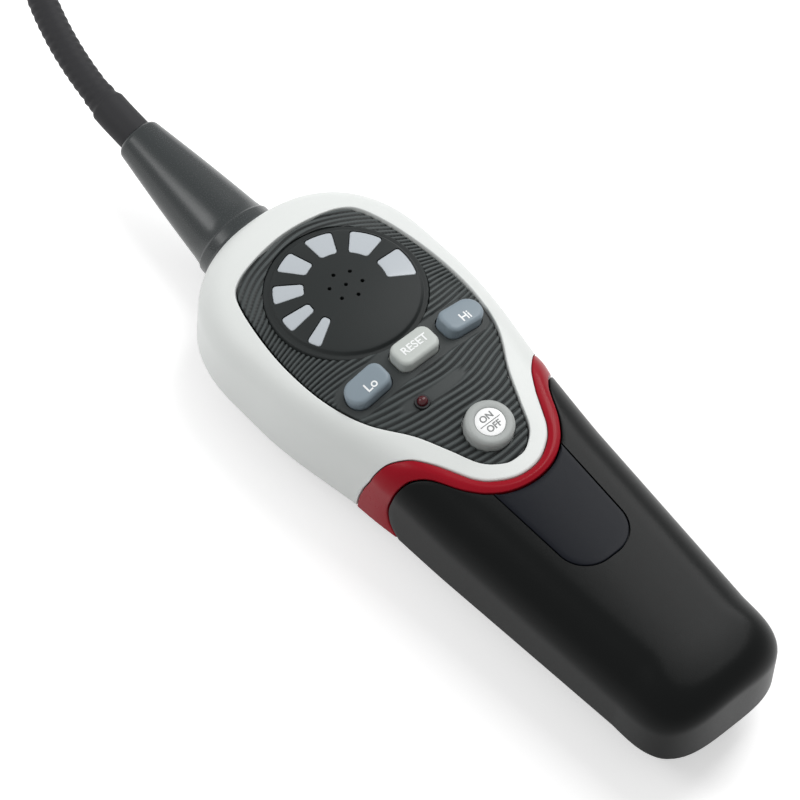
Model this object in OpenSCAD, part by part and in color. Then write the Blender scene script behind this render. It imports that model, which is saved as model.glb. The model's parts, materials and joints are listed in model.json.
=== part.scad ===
// Hand-held refrigerant leak detector, lying on its back.
// X is the width, +Y points to the nose, +Z is the front with the keys.
// The origin is on the flat of the back, below the middle of the indicator disc.

/* [Housing] */
// Width of the head at its widest
head_w = 60; // [57:0.5:66]
// From the middle of the disc to the nose end of the head
head_nose = 33.5; // [31:0.5:38]
// From the middle of the disc to the end of the handle
handle_end = 134.2; // [131:0.5:146]
// Width of the housing at the waist
waist_w = 50; // [48:0.5:54]
// From the middle of the disc to the waist
waist_y = 45; // [42:0.5:48]
// Width of the handle where its end starts to round
tail_w = 40.5; // [39.5:0.5:44]
// Length of the rounded end of the handle
tail_round = 18; // [14:0.5:20]
// Height of the front above the back at the key row
head_h = 39.5; // [38.5:0.1:43]
// Height of the front above the back at the nose end of the disc
disc_h = 37.6; // [36.6:0.1:40]
// Height of the front of the handle at the band
grip_h = 36.7; // [36:0.1:39]
// Height of the front of the handle where its end starts to round
tail_h = 34.2; // [34:0.1:37]
// Height of the seam between the front pieces and the rear case
seam_h = 11.8; // [11:0.1:12.6]
// Crown radius of the head across its width
crown_r = 70; // [62:1:90]
// Crown radius of the head towards the nose
nose_crown_r = 108; // [90:1:140]
// Crown radius of the handle across its width
grip_crown_r = 80; // [70:1:120]
// Radius of the rolled shoulder round the head
shoulder_r = 9; // [7.5:0.1:10.5]
// Radius of the rolled shoulder round the handle
grip_shoulder_r = 12.5; // [10:0.1:13]
// Radius of the rolled edge across the end of the handle
tail_shoulder_r = 6.5; // [5:0.1:9]
// Wall thickness of all moulded shells
wall = 2; // [1.6:0.1:2.2]
// Step of the rear case inside the front pieces at the seam
seam_step = 2; // [1.2:0.1:2.4]
// Width of the rounded edge of the back, on the head
back_edge = 12; // [10:0.1:12.5]
// Width of the rounded edge of the back, on the handle
grip_back_edge = 9; // [7:0.1:9.2]
// Gap between pieces that are fixed together
fit = 0.1; // [0.05:0.01:0.2]

/* [Band] */
// From the middle of the disc to the front edge of the band, on the centre line
band_y = 63.4; // [62:0.1:66]
// From the middle of the disc to the front edge of the band, on the sides
band_side_y = 36; // [34:0.1:38]
// Width of the band on the centre line
band_w = 3; // [2.6:0.1:4]
// Width of the band on the sides
band_side_w = 7.4; // [6:0.1:9]

/* [Handle plate] */
// Width of the plate on the handle
plate_w = 22; // [20:0.1:23]
// From the middle of the disc to the lower end of the plate
plate_end = 92; // [88:0.5:98]
// Depth of the pocket for the plate
plate_t = 0.9; // [0.6:0.1:1.2]
// Radius of the lower corners of the plate
plate_corner = 8; // [5:0.1:9]
// How much each side of the plate draws in towards its lower end
plate_draft = 1.5; // [0.5:0.1:2]

/* [Keypad panel] */
// Width of the panel on each side of the disc
panel_side = 4.6; // [3.5:0.1:5.4]
// Width of the panel on the nose side of the disc
panel_ahead = 2.8; // [2:0.1:3.6]
// From the middle of the disc to the handle end of the panel
panel_tail = 59.4; // [58:0.1:60.5]
// How far the panel lies below the shell around it
panel_sink = 0.4; // [0.2:0.05:0.6]
// Width of the ledge that carries the panel
ledge_w = 2; // [1.5:0.1:2.5]
// Thickness of the ledge that carries the panel
ledge_t = 1.4; // [1:0.1:1.8]

/* [Indicator disc] */
// Diameter of the disc
disc_d = 38.8; // [37.5:0.1:39.2]
// Radius of the dome of the disc
dome_r = 65; // [56:0.5:80]
// Height of the top of the dome above the head's front
dome_rise = 1.2; // [0.8:0.1:1.6]
// Tilt of the disc towards the nose, in degrees
disc_tilt = 4.6; // [3:0.1:6]
// Depth of the rim of the disc below its edge
disc_rim = 2.6; // [2:0.1:3]
// Thickness of the top of the disc
disc_t = 1.6; // [1.2:0.1:2]
// Inner radius of the windows
window_r1 = 9.9; // [9:0.1:11]
// Outer radius of the windows
window_r2 = 17.2; // [16:0.1:17.6]
// Angle of the smallest window
window_first = 12; // [11:0.5:15]
// Growth in angle from one window to the next
window_growth = 3; // [2.5:0.1:4]
// Angle between two windows
window_gap = 14.6; // [12:0.1:16]
// Depth of the windows below the dome
window_t = 1.8; // [1.4:0.1:2.4]
// Diameter of the sound holes
sound_hole_d = 1; // [0.8:0.05:1.4]
// Radius of the ring of sound holes
sound_ring_r = 4; // [3.4:0.1:4.6]

/* [Keys] */
// From the edge of the disc to the row of three keys
row_gap = 0.8; // [0.7:0.1:1.6]
// From the middle key to a side key
key_pitch = 14.6; // [14:0.1:15.4]
// Width of a key in the row
key_w = 11.6; // [11:0.1:12.8]
// Length of a key in the row, along the handle
key_l = 7; // [6.6:0.1:7.6]
// Corner radius of a key in the row
key_corner = 2.4; // [1.6:0.1:3]
// How far the keys stand above the panel's face
key_rise = 2.4; // [1.6:0.1:3]
// From the middle of the disc to the power key
power_y = 49.5; // [49:0.1:50.5]
// Diameter of the power key
power_d = 12; // [11:0.1:12.4]
// Diameter of the inlay in the power key
inlay_d = 7.4; // [6.5:0.1:8.2]
// Depth of the inlay
inlay_t = 0.6; // [0.4:0.05:0.9]
// Travel of the keys
key_travel = 0.8; // [0.4:0.1:1]
// Gap round a key
key_gap = 0.3; // [0.25:0.05:0.4]
// Width of the flange that keeps a key in the panel
key_flange = 0.8; // [0.6:0.1:1]
// Thickness of that flange
flange_t = 1; // [0.8:0.1:1.2]
// Rounding of the top edges of the keys
key_edge = 0.7; // [0.4:0.1:1]

/* [Lamp] */
// Lamp's distance from the centre line
lamp_x = 7.6; // [7:0.1:8]
// From the middle of the disc to the lamp
lamp_y = 35; // [34.5:0.1:36]
// Diameter of the lamp
lamp_d = 2.6; // [2:0.1:3]
// Diameter of the lamp's bezel
lamp_bezel_d = 3.6; // [3.4:0.1:4.4]

/* [Nose] */
// Height of the nose axis at the head
nose_h = 13; // [12.6:0.1:13.6]
// Upward tilt of the nose, in degrees
nose_tilt = 4.5; // [3:0.5:6]
// Length of the nose cone outside the head
nose_len = 40.3; // [36:0.1:46]
// Diameter of the nose cone at the head
nose_base_d = 20.5; // [19:0.1:21]
// Diameter of the nose cone at its tip
nose_tip_d = 11.7; // [11:0.1:13]
// Width of the step round the base of the nose
nose_step = 0.9; // [0.6:0.1:1]
// Diameter of the spigot that the nose has inside the head
spigot_d = 15; // [14:0.1:16]
// Width of the flange at the inner end of the spigot
nose_flange = 1.6; // [1.2:0.1:1.8]
// Length of the spigot between the head's face and its flange
nose_groove = 4; // [3.6:0.1:4.4]

/* [Flexible neck] */
// Diameter of the neck
neck_d = 7.3; // [6.8:0.1:7.6]
// Length of the neck outside the nose
neck_len = 365; // [345:1:380]
// Radius of the bend that the neck is set to
neck_bend_r = 104; // [98:1:112]
// Straight length of neck before its bend
neck_straight = 5; // [3:0.5:8]
// Diameter of the sleeve on the neck
sleeve_d = 8.9; // [8.6:0.1:9.6]
// Length of the sleeve
sleeve_len = 15; // [12:0.5:20]

/* [Sensor tip] */
// Diameter of the tip
tip_d = 10; // [9.4:0.1:11]
// Length of the tip's collar
collar_len = 12; // [10:0.5:15]
// Length of the tip's cap
cap_len = 20; // [17:0.5:24]
// Wall thickness of the cap
cap_wall = 1; // [0.8:0.1:1.2]
// Diameter of the sensor element
sensor_d = 5.2; // [4.6:0.1:6]
// Number of slots in the cap
cap_slots = 6; // [4:1:8]

/* [Inside] */
// Height of the underside of the circuit board
board_h = 26.6; // [26:0.1:27]
// Thickness of the circuit board
board_t = 1.6; // [1:0.1:1.8]
// Gap between the circuit board and the screw bosses
board_gap = 1; // [0.6:0.1:2]
// Width of the circuit board below the waist
board_tail_w = 18; // [16:0.5:20]
// Diameter of the posts that carry the board
post_d = 5; // [4.5:0.1:5.5]
// Diameter of the sounder
sounder_d = 13; // [12.4:0.2:14]
// Width of a key switch
switch_w = 6; // [5:0.1:6.4]
// Height of a key switch's case
switch_h = 1.2; // [1:0.1:1.4]
// Diameter of a key switch's plunger
plunger_d = 3; // [2.4:0.1:3.4]
// Diameter of a battery cell
cell_d = 14.4; // [13.6:0.1:14.5]
// Length of a battery cell
cell_l = 50.5; // [49:0.5:51]
// Height of the lower cells' axes above the back
cell_h = 9.7; // [9.6:0.1:9.8]
// Gap between neighbouring cells
cell_gap = 0.3; // [0.2:0.05:0.4]
// Thickness of a battery contact
contact_t = 0.8; // [0.6:0.1:1]
// From the end of the handle to the cells
cell_end = 15.5; // [15:0.1:16.5]
// Width of the battery door
door_w = 30.1; // [29.9:0.1:30.5]
// Diameter of a screw's head
screw_head_d = 4.4; // [4:0.1:4.8]
// Diameter of a screw's shank
screw_d = 2.2; // [2:0.1:2.6]

/* [Hidden] */
$fn = 48;
boss_sides = 12;

white = "#e4e6e4";
charcoal = "#404244";
black = "#232628";
slate = "#4a5054";
crimson = "#a52634";
blue_grey = "#84919a";
warm_grey = "#c8cac6";
big = 200;         // larger than the housing, for cutting regions
eps = 0.02;

// Curves

function lerp(a, b, t) = a + (b - a) * t;
function reversed(v) = [for (i = [len(v) - 1:-1:0]) v[i]];
function mirrored(v) = [for (p = v) [-p[0], p[1]]];
function hermite(a, b, ma, mb, t) =
    a * (2 * t ^ 3 - 3 * t ^ 2 + 1) + b * (3 * t ^ 2 - 2 * t ^ 3)
    + ma * (t ^ 3 - 2 * t ^ 2 + t) + mb * (t ^ 3 - t ^ 2);
function tangent(v, i) = (v[min(i + 1, len(v) - 1)] - v[max(i - 1, 0)]) / 2;
// Smooth curve through the points of v, with n pieces to each stretch
function smooth(v, n = 4) = concat(
    [for (i = [0:len(v) - 2]) for (j = [0:n - 1])
        hermite(v[i], v[i + 1], tangent(v, i), tangent(v, i + 1), j / n)],
    [v[len(v) - 1]]);
// Half an outline from the nose to the handle, closed with its mirror image
function both_sides(v) = concat(v, reversed(mirrored(v)));
function arc(c, r, a, b, n) = [for (i = [0:n]) let (t = lerp(a, b, i / n)) c + r * [cos(t), sin(t)]];

// Housing form: sections that stand on a spine from the head to the handle,
// with a fan of sections round each end

head_spine = 4;                        // nose end of the spine
head_straight = -6;                    // the head keeps its full width down to here
ridge = -27;                           // highest line of the front
tail_spine = tail_round - handle_end;  // handle end of the spine
nose_power = 2.35;                     // squareness of the head's nose end
tail_power = 3.4;                      // squareness of the handle's end
nose_steps = 8;
tail_steps = 7;
side_steps = 12;
grip_slope = (grip_h - tail_h) / (-band_y - tail_spine);
disc_slope = tan(disc_tilt) * 1.1;     // slope of the front at the nose end of the spine
taper = (waist_w - tail_w) / 2 / (-waist_y - tail_spine);

function half_width(y) =
    y >= head_straight ? head_w / 2 :
    y >= -waist_y ? hermite(head_w / 2, waist_w / 2, 0, -taper * (head_straight + waist_y),
                            (head_straight - y) / (head_straight + waist_y)) :
    waist_w / 2 + taper * (y + waist_y);
function crest(y) =
    y >= ridge ?
        let (span = head_spine - ridge) hermite(disc_h, head_h, disc_slope * span, 0, (head_spine - y) / span) :
    y >= -band_y ?
        let (span = ridge + band_y) hermite(head_h, grip_h, 0, -grip_slope * span, (ridge - y) / span) :
    grip_h + grip_slope * (y + band_y);
function crest_slope(y) = crest(y + 0.5) - crest(y - 0.5);
function grip_share(y) = max(0, min(1, (ridge - y) / (ridge + band_y)));
function crown_at(y) = lerp(crown_r, grip_crown_r, grip_share(y));
function shoulder_at(y) = lerp(shoulder_r, grip_shoulder_r, grip_share(y));
// Height of the housing's front at a point of the head or handle
function front_z(x, y) = crest(y) - crown_at(y) + sqrt(crown_at(y) ^ 2 - x ^ 2);
// Distance from a spine end to the outline, in the direction a
function end_reach(a, rx, ry, power) =
    (abs(cos(a) / rx) ^ power + abs(sin(a) / ry) ^ power) ^ (-1 / power);
function end_crown(a, rx, ry) = 1 / (cos(a) ^ 2 / rx + sin(a) ^ 2 / ry);

// Spokes of the housing from the handle's end to the nose: spine, direction, reach, crown, shoulder, fall
spokes = concat(
    [for (i = [0:tail_steps]) let (a = -90 + 90 * i / tail_steps)
        [tail_spine, a, end_reach(a, tail_w / 2, tail_round, tail_power), grip_crown_r,
         lerp(grip_shoulder_r, tail_shoulder_r, sin(a) ^ 2), -grip_slope * sin(a)]],
    [for (i = [1:side_steps - 1]) let (y = lerp(tail_spine, head_spine, i / side_steps))
        [y, 0, half_width(y), crown_at(y), shoulder_at(y), 0]],
    [for (i = [0:nose_steps]) let (a = 90 * i / nose_steps)
        [head_spine, a, end_reach(a, head_w / 2, head_nose - head_spine, nose_power),
         end_crown(a, crown_r, nose_crown_r), shoulder_r, disc_slope * sin(a)]]);

// Front profile along a spoke, moved inwards by d: a crown, a rolled shoulder and a straight wall
function front_profile(s, d, base) =
    let (reach = s[2] - d, top = crest(s[0]) - d, crown = s[3] - d, roll = s[4] - d,
         turn = asin((reach - roll) / (crown - roll)),
         level = top - crown + (crown - roll) * cos(turn),
         steps = d > panel_sink ? 3 : 5)
    concat([for (i = [0:4]) let (a = turn * i / 4)
               [crown * sin(a), top - crown + crown * cos(a) - s[5] * crown * sin(a)]],
           [for (i = [1:steps]) let (a = lerp(turn, 90, i / steps))
               [reach - roll + roll * sin(a),
                level + roll * cos(a) - s[5] * (reach - roll + roll * sin(a))]],
           [[reach, base], [0, base]]);
// Rear profile along a spoke, moved inwards by d: a flat back with a rounded edge
function rear_profile(s, d, top) =
    let (reach = s[2] - seam_step - d, edge = lerp(back_edge, grip_back_edge, grip_share(s[0])) - d)
    concat([[0, top], [reach, top]],
           [for (i = [0:5]) let (a = 18 * i)
               [reach - edge * (1 - cos(a)), seam_h - (seam_h - d) * sin(a)]],
           [[0, d]]);
function on_spoke(s, profile, side) =
    [for (p = profile) [side * p[0] * cos(s[1]), s[0] + p[0] * sin(s[1]), p[1]]];

module hull_points(points) {
    hull() polyhedron(points, [[for (i = [0:len(points) - 1]) i]]);
}

module loft(profiles) {
    for (i = [0:len(spokes) - 2])
        hull_points([for (k = [i, i + 1]) for (side = [-1, 1])
            each on_spoke(spokes[k], profiles[k], side)]);
}

module front_body(d, base) {
    loft([for (s = spokes) front_profile(s, d, base)]);
}

module rear_body(d, top) {
    loft([for (s = spokes) rear_profile(s, d, top)]);
}

// Layer of the front housing between two depths below its surface
module front_layer(d1, d2, base = seam_h) {
    difference() {
        front_body(d1, base);
        front_body(d2, base - 1);
    }
}

module rear_layer(d1, d2) {
    difference() {
        rear_body(d1, seam_h - fit);
        rear_body(d2, seam_h + 1);
    }
}

module column(h = big) {
    translate([0, 0, -h / 2]) linear_extrude(h) children();
}

// Regions of the front, as seen from above

band_front_shape = [[0, 0], [0.18, 0.03], [0.36, 0.13], [0.46, 0.235], [0.52, 0.34], [0.572, 0.438],
                    [0.624, 0.533], [0.708, 0.657], [0.784, 0.745], [0.912, 0.845], [1.05, 0.98], [1.3, 1]];
band_back_shape = [[0, 0], [0.18, 0.026], [0.34, 0.098], [0.468, 0.204], [0.532, 0.283], [0.6, 0.383],
                   [0.652, 0.483], [0.696, 0.583], [0.744, 0.683], [0.8, 0.765], [0.89, 0.855], [1.03, 0.97],
                   [1.3, 1]];
function band_edge(shape, middle, side) =
    smooth([for (p = shape) [p[0] * waist_w / 2, lerp(-middle, -side, p[1])]], 2);
band_front = band_edge(band_front_shape, band_y, band_side_y);
band_back = band_edge(band_back_shape, band_y + band_w, band_side_y + band_side_w);

module ahead_of(edge) {
    side = edge[len(edge) - 1];
    polygon(concat([[big, big], [big, side[1]]], reversed(edge), mirrored(edge),
                   [[-big, side[1]], [-big, big]]));
}

panel_w = disc_d + 2 * panel_side;
panel_nose = disc_d / 2 + panel_ahead;
panel_shape = [[0, 1], [0.42, 0.955], [0.69, 0.87], [0.825, 0.71], [0.935, 0.29], [1, -0.1], [0.983, -0.32],
               [0.858, -0.512], [0.605, -0.682], [0.45, -0.816], [0.315, -0.93], [0.133, -0.99], [0, -1]];
panel_edge = smooth([for (p = panel_shape)
    [p[0] * panel_w / 2, p[1] * (p[1] > 0 ? panel_nose : panel_tail)]], 3);

module panel_outline(grow = 0) {
    offset(delta = grow) polygon(both_sides(panel_edge));
}

module plate_outline(grow = 0) {
    r = plate_corner;
    offset(delta = grow) intersection() {
        polygon(both_sides(concat([[plate_w / 2, -band_y + plate_w / 2]],
            arc([plate_w / 2 - plate_draft - r, r - plate_end], r, 0, -90, 6))));
        translate([0, -band_w / 3]) difference() {
            square(2 * big, center = true);
            ahead_of(band_back);
        }
    }
}

// Housing pieces

head_screw_in = 8.4;                     // case screws beside the disc: from the side of the head
head_screw_y = 11.7;
grip_screw_in = 6.5;                     // case screws below the band: from the side of the waist
grip_screw_y = 61.2;
screw_spots = [for (side = [-1, 1]) each [[side * (head_w / 2 - head_screw_in), head_screw_y],
                                          [side * (waist_w / 2 - grip_screw_in), -grip_screw_y]]];
boss_d = screw_d + 3.6;
screw_bite = 8;                          // how far the case screws reach past the seam
board_screw_l = 7;                       // length of the board screws below the board
board_w = 2 * (screw_spots[2][0] - boss_d / 2 - board_gap);

module boss(spot, top) {
    translate([spot[0], spot[1], seam_h + fit]) cylinder(d = boss_d, h = top - seam_h, $fn = boss_sides);
}

module pilot(spot) {
    translate([spot[0], spot[1], 0]) cylinder(d = screw_d + fit, h = seam_h + screw_bite + 1, $fn = boss_sides);
}

module nose_frame() {
    translate([0, head_nose + fit, nose_h]) rotate([nose_tilt - 90, 0, 0]) children();
}

socket_r = spigot_d / 2 + nose_flange + 1.5;
socket_l = nose_groove + 12;

// Socket round the spigot of the nose, shared by the front shell and the rear case
module nose_socket() {
    nose_frame() translate([0, 0, -socket_l]) cylinder(r = socket_r, h = socket_l + 1);
}

// Room for the spigot and its flange
module nose_room() {
    nose_frame() {
        translate([0, 0, -big / 2]) cylinder(d = spigot_d + 2 * fit, h = big);
        translate([0, 0, -big - nose_groove + fit])
            cylinder(d = spigot_d + 2 * nose_flange + 4 * fit, h = big);
        translate([0, 0, -fit]) cylinder(r = nose_base_d / 2 + nose_step + fit, h = big);
    }
}

module above_seam() {
    translate([-big, -big, seam_h + fit]) cube(2 * big);
}

module below_seam() {
    translate([-big, -big, seam_h - 2 * fit - 2 * big]) cube(2 * big);
}

module front_shell() {
    color(white) difference() {
        union() {
            intersection() {
                front_layer(0, wall);
                column() difference() {
                    ahead_of(band_front);
                    panel_outline();
                }
            }
            // Ledge that carries the panel, cleared for what passes through the panel
            difference() {
                intersection() {
                    front_layer(wall - eps, wall + ledge_t);
                    column() difference() {
                        panel_outline(ledge_t);
                        panel_outline(-ledge_w);
                    }
                    column() ahead_of(band_front);
                }
                disc_frame() cylinder(d = disc_d + 6 * fit, h = big, center = true);
                for (i = [-1, 1]) row_key_frame(i) column(head_h / 2)
                    row_key_outline(i, key_flange + 2 * key_gap);
            }
            intersection() {
                front_body(wall - eps, seam_h);
                union() for (spot = screw_spots) if (spot[1] > 0) boss(spot, head_h);
            }
            intersection() {
                nose_socket();
                front_body(eps, seam_h);
                above_seam();
            }
        }
        nose_room();
        for (spot = screw_spots) if (spot[1] > 0) pilot(spot);
    }
}

module keypad_panel() {
    color(charcoal) difference() {
        intersection() {
            front_layer(panel_sink, wall - fit);
            column() panel_outline(-fit);
        }
        disc_frame() cylinder(d = disc_d + 2 * fit, h = big, center = true);
        for (i = [-1:1]) row_key_frame(i) column(head_h / 2) row_key_outline(i, key_gap);
        power_frame() column(head_h / 2) circle(d = power_d + 2 * key_gap);
        lamp_frame() column(head_h / 2) circle(d = lamp_bezel_d + 2 * fit);
    }
}

module red_band() {
    color(crimson) intersection() {
        front_layer(0, wall);
        column() difference() {
            offset(delta = -fit) ahead_of(band_back);
            offset(delta = fit) ahead_of(band_front);
        }
    }
}

module handle_front() {
    color(black) difference() {
        union() {
            intersection() {
                front_layer(0, wall);
                column() difference() {
                    square(2 * big, center = true);
                    ahead_of(band_back);
                }
            }
            intersection() {
                front_body(wall - eps, seam_h);
                union() for (spot = screw_spots) if (spot[1] < 0) boss(spot, head_h);
            }
        }
        intersection() {
            front_layer(-1, plate_t);
            column() plate_outline(fit);
        }
        for (spot = screw_spots) if (spot[1] < 0) pilot(spot);
    }
}

module handle_plate() {
    color(black) intersection() {
        front_layer(0, plate_t - fit);
        column() plate_outline(-fit);
    }
}

cell_tail = cell_end - handle_end;       // handle end of the cells
cell_head = cell_tail + cell_l;
door_tail = cell_tail - 2;
door_head = cell_head + 3;
tab_w = 12;                              // width of the tabs over the door's ends
tab_l = 7;                               // length of the tab that takes the door's screw
door_screw_head = 1;
bulkhead_t = 1.4;
screw_seat = seam_h / 2;                 // height of the case screws' seats
screw_head_h = 2;
door_corner = 3;
post_spots = [for (side = [-1, 1]) each [[side * (board_w / 2 - 3), 15], [side * (board_w / 2 - 3), -14]]];

module door_outline(grow = 0) {
    w = door_w / 2 + grow - door_corner;
    polygon(both_sides(concat(
        arc([w, door_head + grow - door_corner], door_corner, 90, 0, 4),
        arc([w, door_tail - grow + door_corner], door_corner, 0, -90, 4))));
}

// Wall across the rear case that backs a battery contact
module bulkhead(y) {
    translate([-door_w / 2, y, 0]) cube([door_w, bulkhead_t, seam_h - 2 * fit]);
}

module tab(y1, y2) {
    translate([-tab_w / 2, y1, wall + fit]) cube([tab_w, y2 - y1, ledge_t]);
}

module rear_case() {
    color(black) difference() {
        union() {
            difference() {
                rear_layer(0, wall);
                column() door_outline(fit);
            }
            intersection() {
                rear_body(wall - eps, seam_h - fit);
                union() {
                    for (spot = screw_spots) translate(spot)
                        cylinder(d = boss_d, h = seam_h - fit, $fn = boss_sides);
                    bulkhead(door_tail - 3 * fit - bulkhead_t);
                    bulkhead(door_head + 3 * fit);
                    // Tabs over both ends of the battery door
                    tab(door_tail - bulkhead_t, door_tail + ledge_w);
                    tab(door_head - tab_l, door_head + bulkhead_t);
                }
            }
            for (spot = post_spots) translate([spot[0], spot[1], wall - eps])
                cylinder(d = post_d, h = board_h - wall, $fn = boss_sides);
            intersection() {
                nose_socket();
                below_seam();
            }
        }
        nose_room();
        for (spot = screw_spots) {
            pilot(spot);
            translate([spot[0], spot[1], -big])
                cylinder(d = screw_head_d + 2 * fit, h = big + screw_seat, $fn = boss_sides);
        }
        for (spot = post_spots) translate([spot[0], spot[1], board_h - board_screw_l - 1])
            cylinder(d = screw_d + 2 * fit, h = board_screw_l + 2, $fn = boss_sides);
        door_screw_spot() cylinder(d = screw_d + 2 * fit, h = big, center = true, $fn = boss_sides);
    }
}

module door_screw_spot() {
    translate([0, door_head - tab_l / 2, 0]) children();
}

// The door's ribs carry the cells
module battery_door() {
    color(black) difference() {
        union() {
            intersection() {
                rear_layer(0, wall);
                column() door_outline(-fit);
            }
            intersection() {
                rear_body(wall - eps, seam_h);
                for (k = [0:2]) translate([-cell_d * 0.9, lerp(cell_tail + 8, cell_head - 10, k / 2), 0])
                    cube([cell_d * 1.8, 1.6, cell_h - cell_d / 4]);
            }
        }
        for (i = [1:2]) cell_place(i) translate([0, 0, -1]) cylinder(d = cell_d + 4 * fit, h = cell_l + 2);
        door_screw_spot() cylinder(d = screw_d + 2 * fit, h = big, center = true);
        door_screw_spot() translate([0, 0, -eps])
            cylinder(d = screw_head_d + 2 * fit, h = door_screw_head + 2 * fit);
    }
}

// Keys and what shows in the panel

key_row_y = disc_d / 2 + row_gap + key_l / 2;

module row_key_frame(i) {
    x = i * key_pitch;
    translate([x, -key_row_y, front_z(x, -key_row_y)])
        rotate([atan(crest_slope(-key_row_y)), 0, 0]) rotate([0, asin(x / crown_r), 0]) children();
}

module power_frame() {
    translate([0, -power_y, crest(-power_y)]) rotate([atan(crest_slope(-power_y)), 0, 0]) children();
}

module lamp_frame() {
    translate([-lamp_x, -lamp_y, front_z(lamp_x, -lamp_y)])
        rotate([atan(crest_slope(-lamp_y)), 0, 0]) rotate([0, -asin(lamp_x / crown_r), 0]) children();
}

// A side key has a rounder outer end
module row_key_outline(i, grow = 0) {
    round_end = i == 0 ? key_corner : min(key_l / 2, key_corner + 1.1);
    hull() for (side = [-1, 1]) for (up = [-1, 1]) {
        r = side == i ? round_end : key_corner;
        translate([side * (key_w / 2 - r), up * (key_l / 2 - r)]) circle(r = r + grow, $fn = 32);
    }
}

// Underside of a key below the head's front: its flat flange clears the curved panel
key_bottom = -wall - 2 * fit - (key_w / 2 + key_flange) ^ 2 / 2 / (crown_r - wall) - flange_t;

module key_solid() {
    hull() {
        translate([0, 0, key_bottom]) linear_extrude(key_rise - key_edge - key_bottom) children();
        translate([0, 0, key_bottom]) linear_extrude(key_rise - key_edge / 3 - key_bottom)
            offset(delta = -key_edge / 3) children();
        translate([0, 0, key_bottom]) linear_extrude(key_rise - key_bottom)
            offset(delta = -key_edge) children();
    }
    // The flange stands out at both ends of the key
    hull() for (side = [-1, 1]) translate([side * key_flange, 0, key_bottom])
        linear_extrude(flange_t) children();
}

module row_key(i, shade) {
    color(shade) row_key_frame(i) key_solid() row_key_outline(i);
}

module low_key() {
    row_key(-1, blue_grey);
}

module reset_key() {
    row_key(0, warm_grey);
}

module high_key() {
    row_key(1, blue_grey);
}

module power_key() {
    color("#a8acaa") power_frame() difference() {
        rotate_extrude() polygon(concat(
            [[0, key_bottom], [power_d / 2 + key_flange, key_bottom],
             [power_d / 2 + key_flange, key_bottom + flange_t], [power_d / 2, key_bottom + flange_t]],
            arc([power_d / 2 - key_edge, key_rise - key_edge], key_edge, 0, 90, 4),
            [[0, key_rise]]));
        translate([0, 0, key_rise - inlay_t]) cylinder(d = inlay_d, h = 1);
    }
}

module power_inlay() {
    color("white") power_frame() translate([0, 0, key_rise - inlay_t])
        cylinder(d = inlay_d - fit, h = inlay_t);
}

lamp_depth = wall + 1;

module lamp_bezel() {
    color(black) lamp_frame() difference() {
        union() {
            translate([0, 0, -lamp_depth]) cylinder(d = lamp_bezel_d, h = lamp_depth);
            translate([0, 0, -lamp_depth]) cylinder(d = lamp_bezel_d + 1.2, h = lamp_depth - wall - fit);
        }
        translate([0, 0, -lamp_depth - 1]) cylinder(d = lamp_d + fit, h = lamp_depth + 2);
    }
}

module lamp_lens() {
    color("#50101a") lamp_frame() translate([0, 0, -lamp_depth]) {
        cylinder(d = lamp_d, h = lamp_depth);
        translate([0, 0, lamp_depth]) intersection() {
            sphere(d = lamp_d);
            cylinder(d = lamp_d, h = lamp_d);
        }
    }
}

// Indicator disc

disc_edge = sqrt(dome_r ^ 2 - disc_d ^ 2 / 4) - dome_r;
disc_bottom = disc_edge - disc_rim;

module disc_frame() {
    translate([0, 0, crest(0) + dome_rise]) rotate([-disc_tilt, 0, 0]) children();
}

module dome(d, depth) {
    intersection() {
        translate([0, 0, -dome_r]) sphere(r = dome_r - depth, $fn = 96);
        translate([0, 0, disc_bottom]) cylinder(d = d, h = big, $fn = 96);
    }
}

first_turn = 208.3;     // direction of the smallest window's first edge
ring_turn = 35;        // direction of the first sound hole
function window_start(i) =
    first_turn - (i - 1) * (window_first + window_gap) - window_growth * (i - 1) * (i - 2) / 2;
function window_angle(i) = window_first + window_growth * (i - 1);

module window_outline(i, grow = 0) {
    a = window_start(i) - window_angle(i);
    b = window_start(i);
    // The same edge offset needs a larger angle nearer to the middle
    in = grow * 180 / PI / window_r1;
    out = grow * 180 / PI / window_r2;
    steps = 6;
    polygon(concat(arc([0, 0], window_r2 + grow, a - out, b + out, steps),
                   reversed(arc([0, 0], window_r1 - grow, a - in, b + in, steps))));
}

module indicator_disc() {
    color(charcoal) disc_frame() difference() {
        dome(disc_d, 0);
        dome(disc_d - 2 * disc_t, disc_t);
        for (i = [1:7]) column() window_outline(i, fit);
        for (i = [0:6]) rotate([0, 0, 60 * i + ring_turn])
            translate([i < 6 ? sound_ring_r : 0, 0, disc_bottom])
            cylinder(d = sound_hole_d, h = big, $fn = 24);
    }
}

module signal_window(i) {
    color("#c3c8cc") disc_frame() intersection() {
        difference() {
            dome(disc_d, 0);
            dome(disc_d, window_t);
        }
        column() window_outline(i);
    }
}

// Nose and neck

nose_bore = neck_d + 2 * fit;
flange_in = nose_groove + 2;             // depth of the nose's inner end below the head's face

module nose_cone() {
    tip_edge = 1;
    r = nose_base_d / 2;
    color(slate) nose_frame() rotate_extrude() polygon(concat(
        [[nose_bore / 2, -flange_in], [spigot_d / 2 + nose_flange, -flange_in],
         [spigot_d / 2 + nose_flange, -nose_groove], [spigot_d / 2, -nose_groove], [spigot_d / 2, 0],
         [r + nose_step, 0], [r + nose_step, 2], [r, 2 + nose_step]],
        arc([nose_tip_d / 2 - tip_edge, nose_len - tip_edge], tip_edge, 0, 90, 4),
        [[nose_bore / 2, nose_len]]));
}

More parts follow.
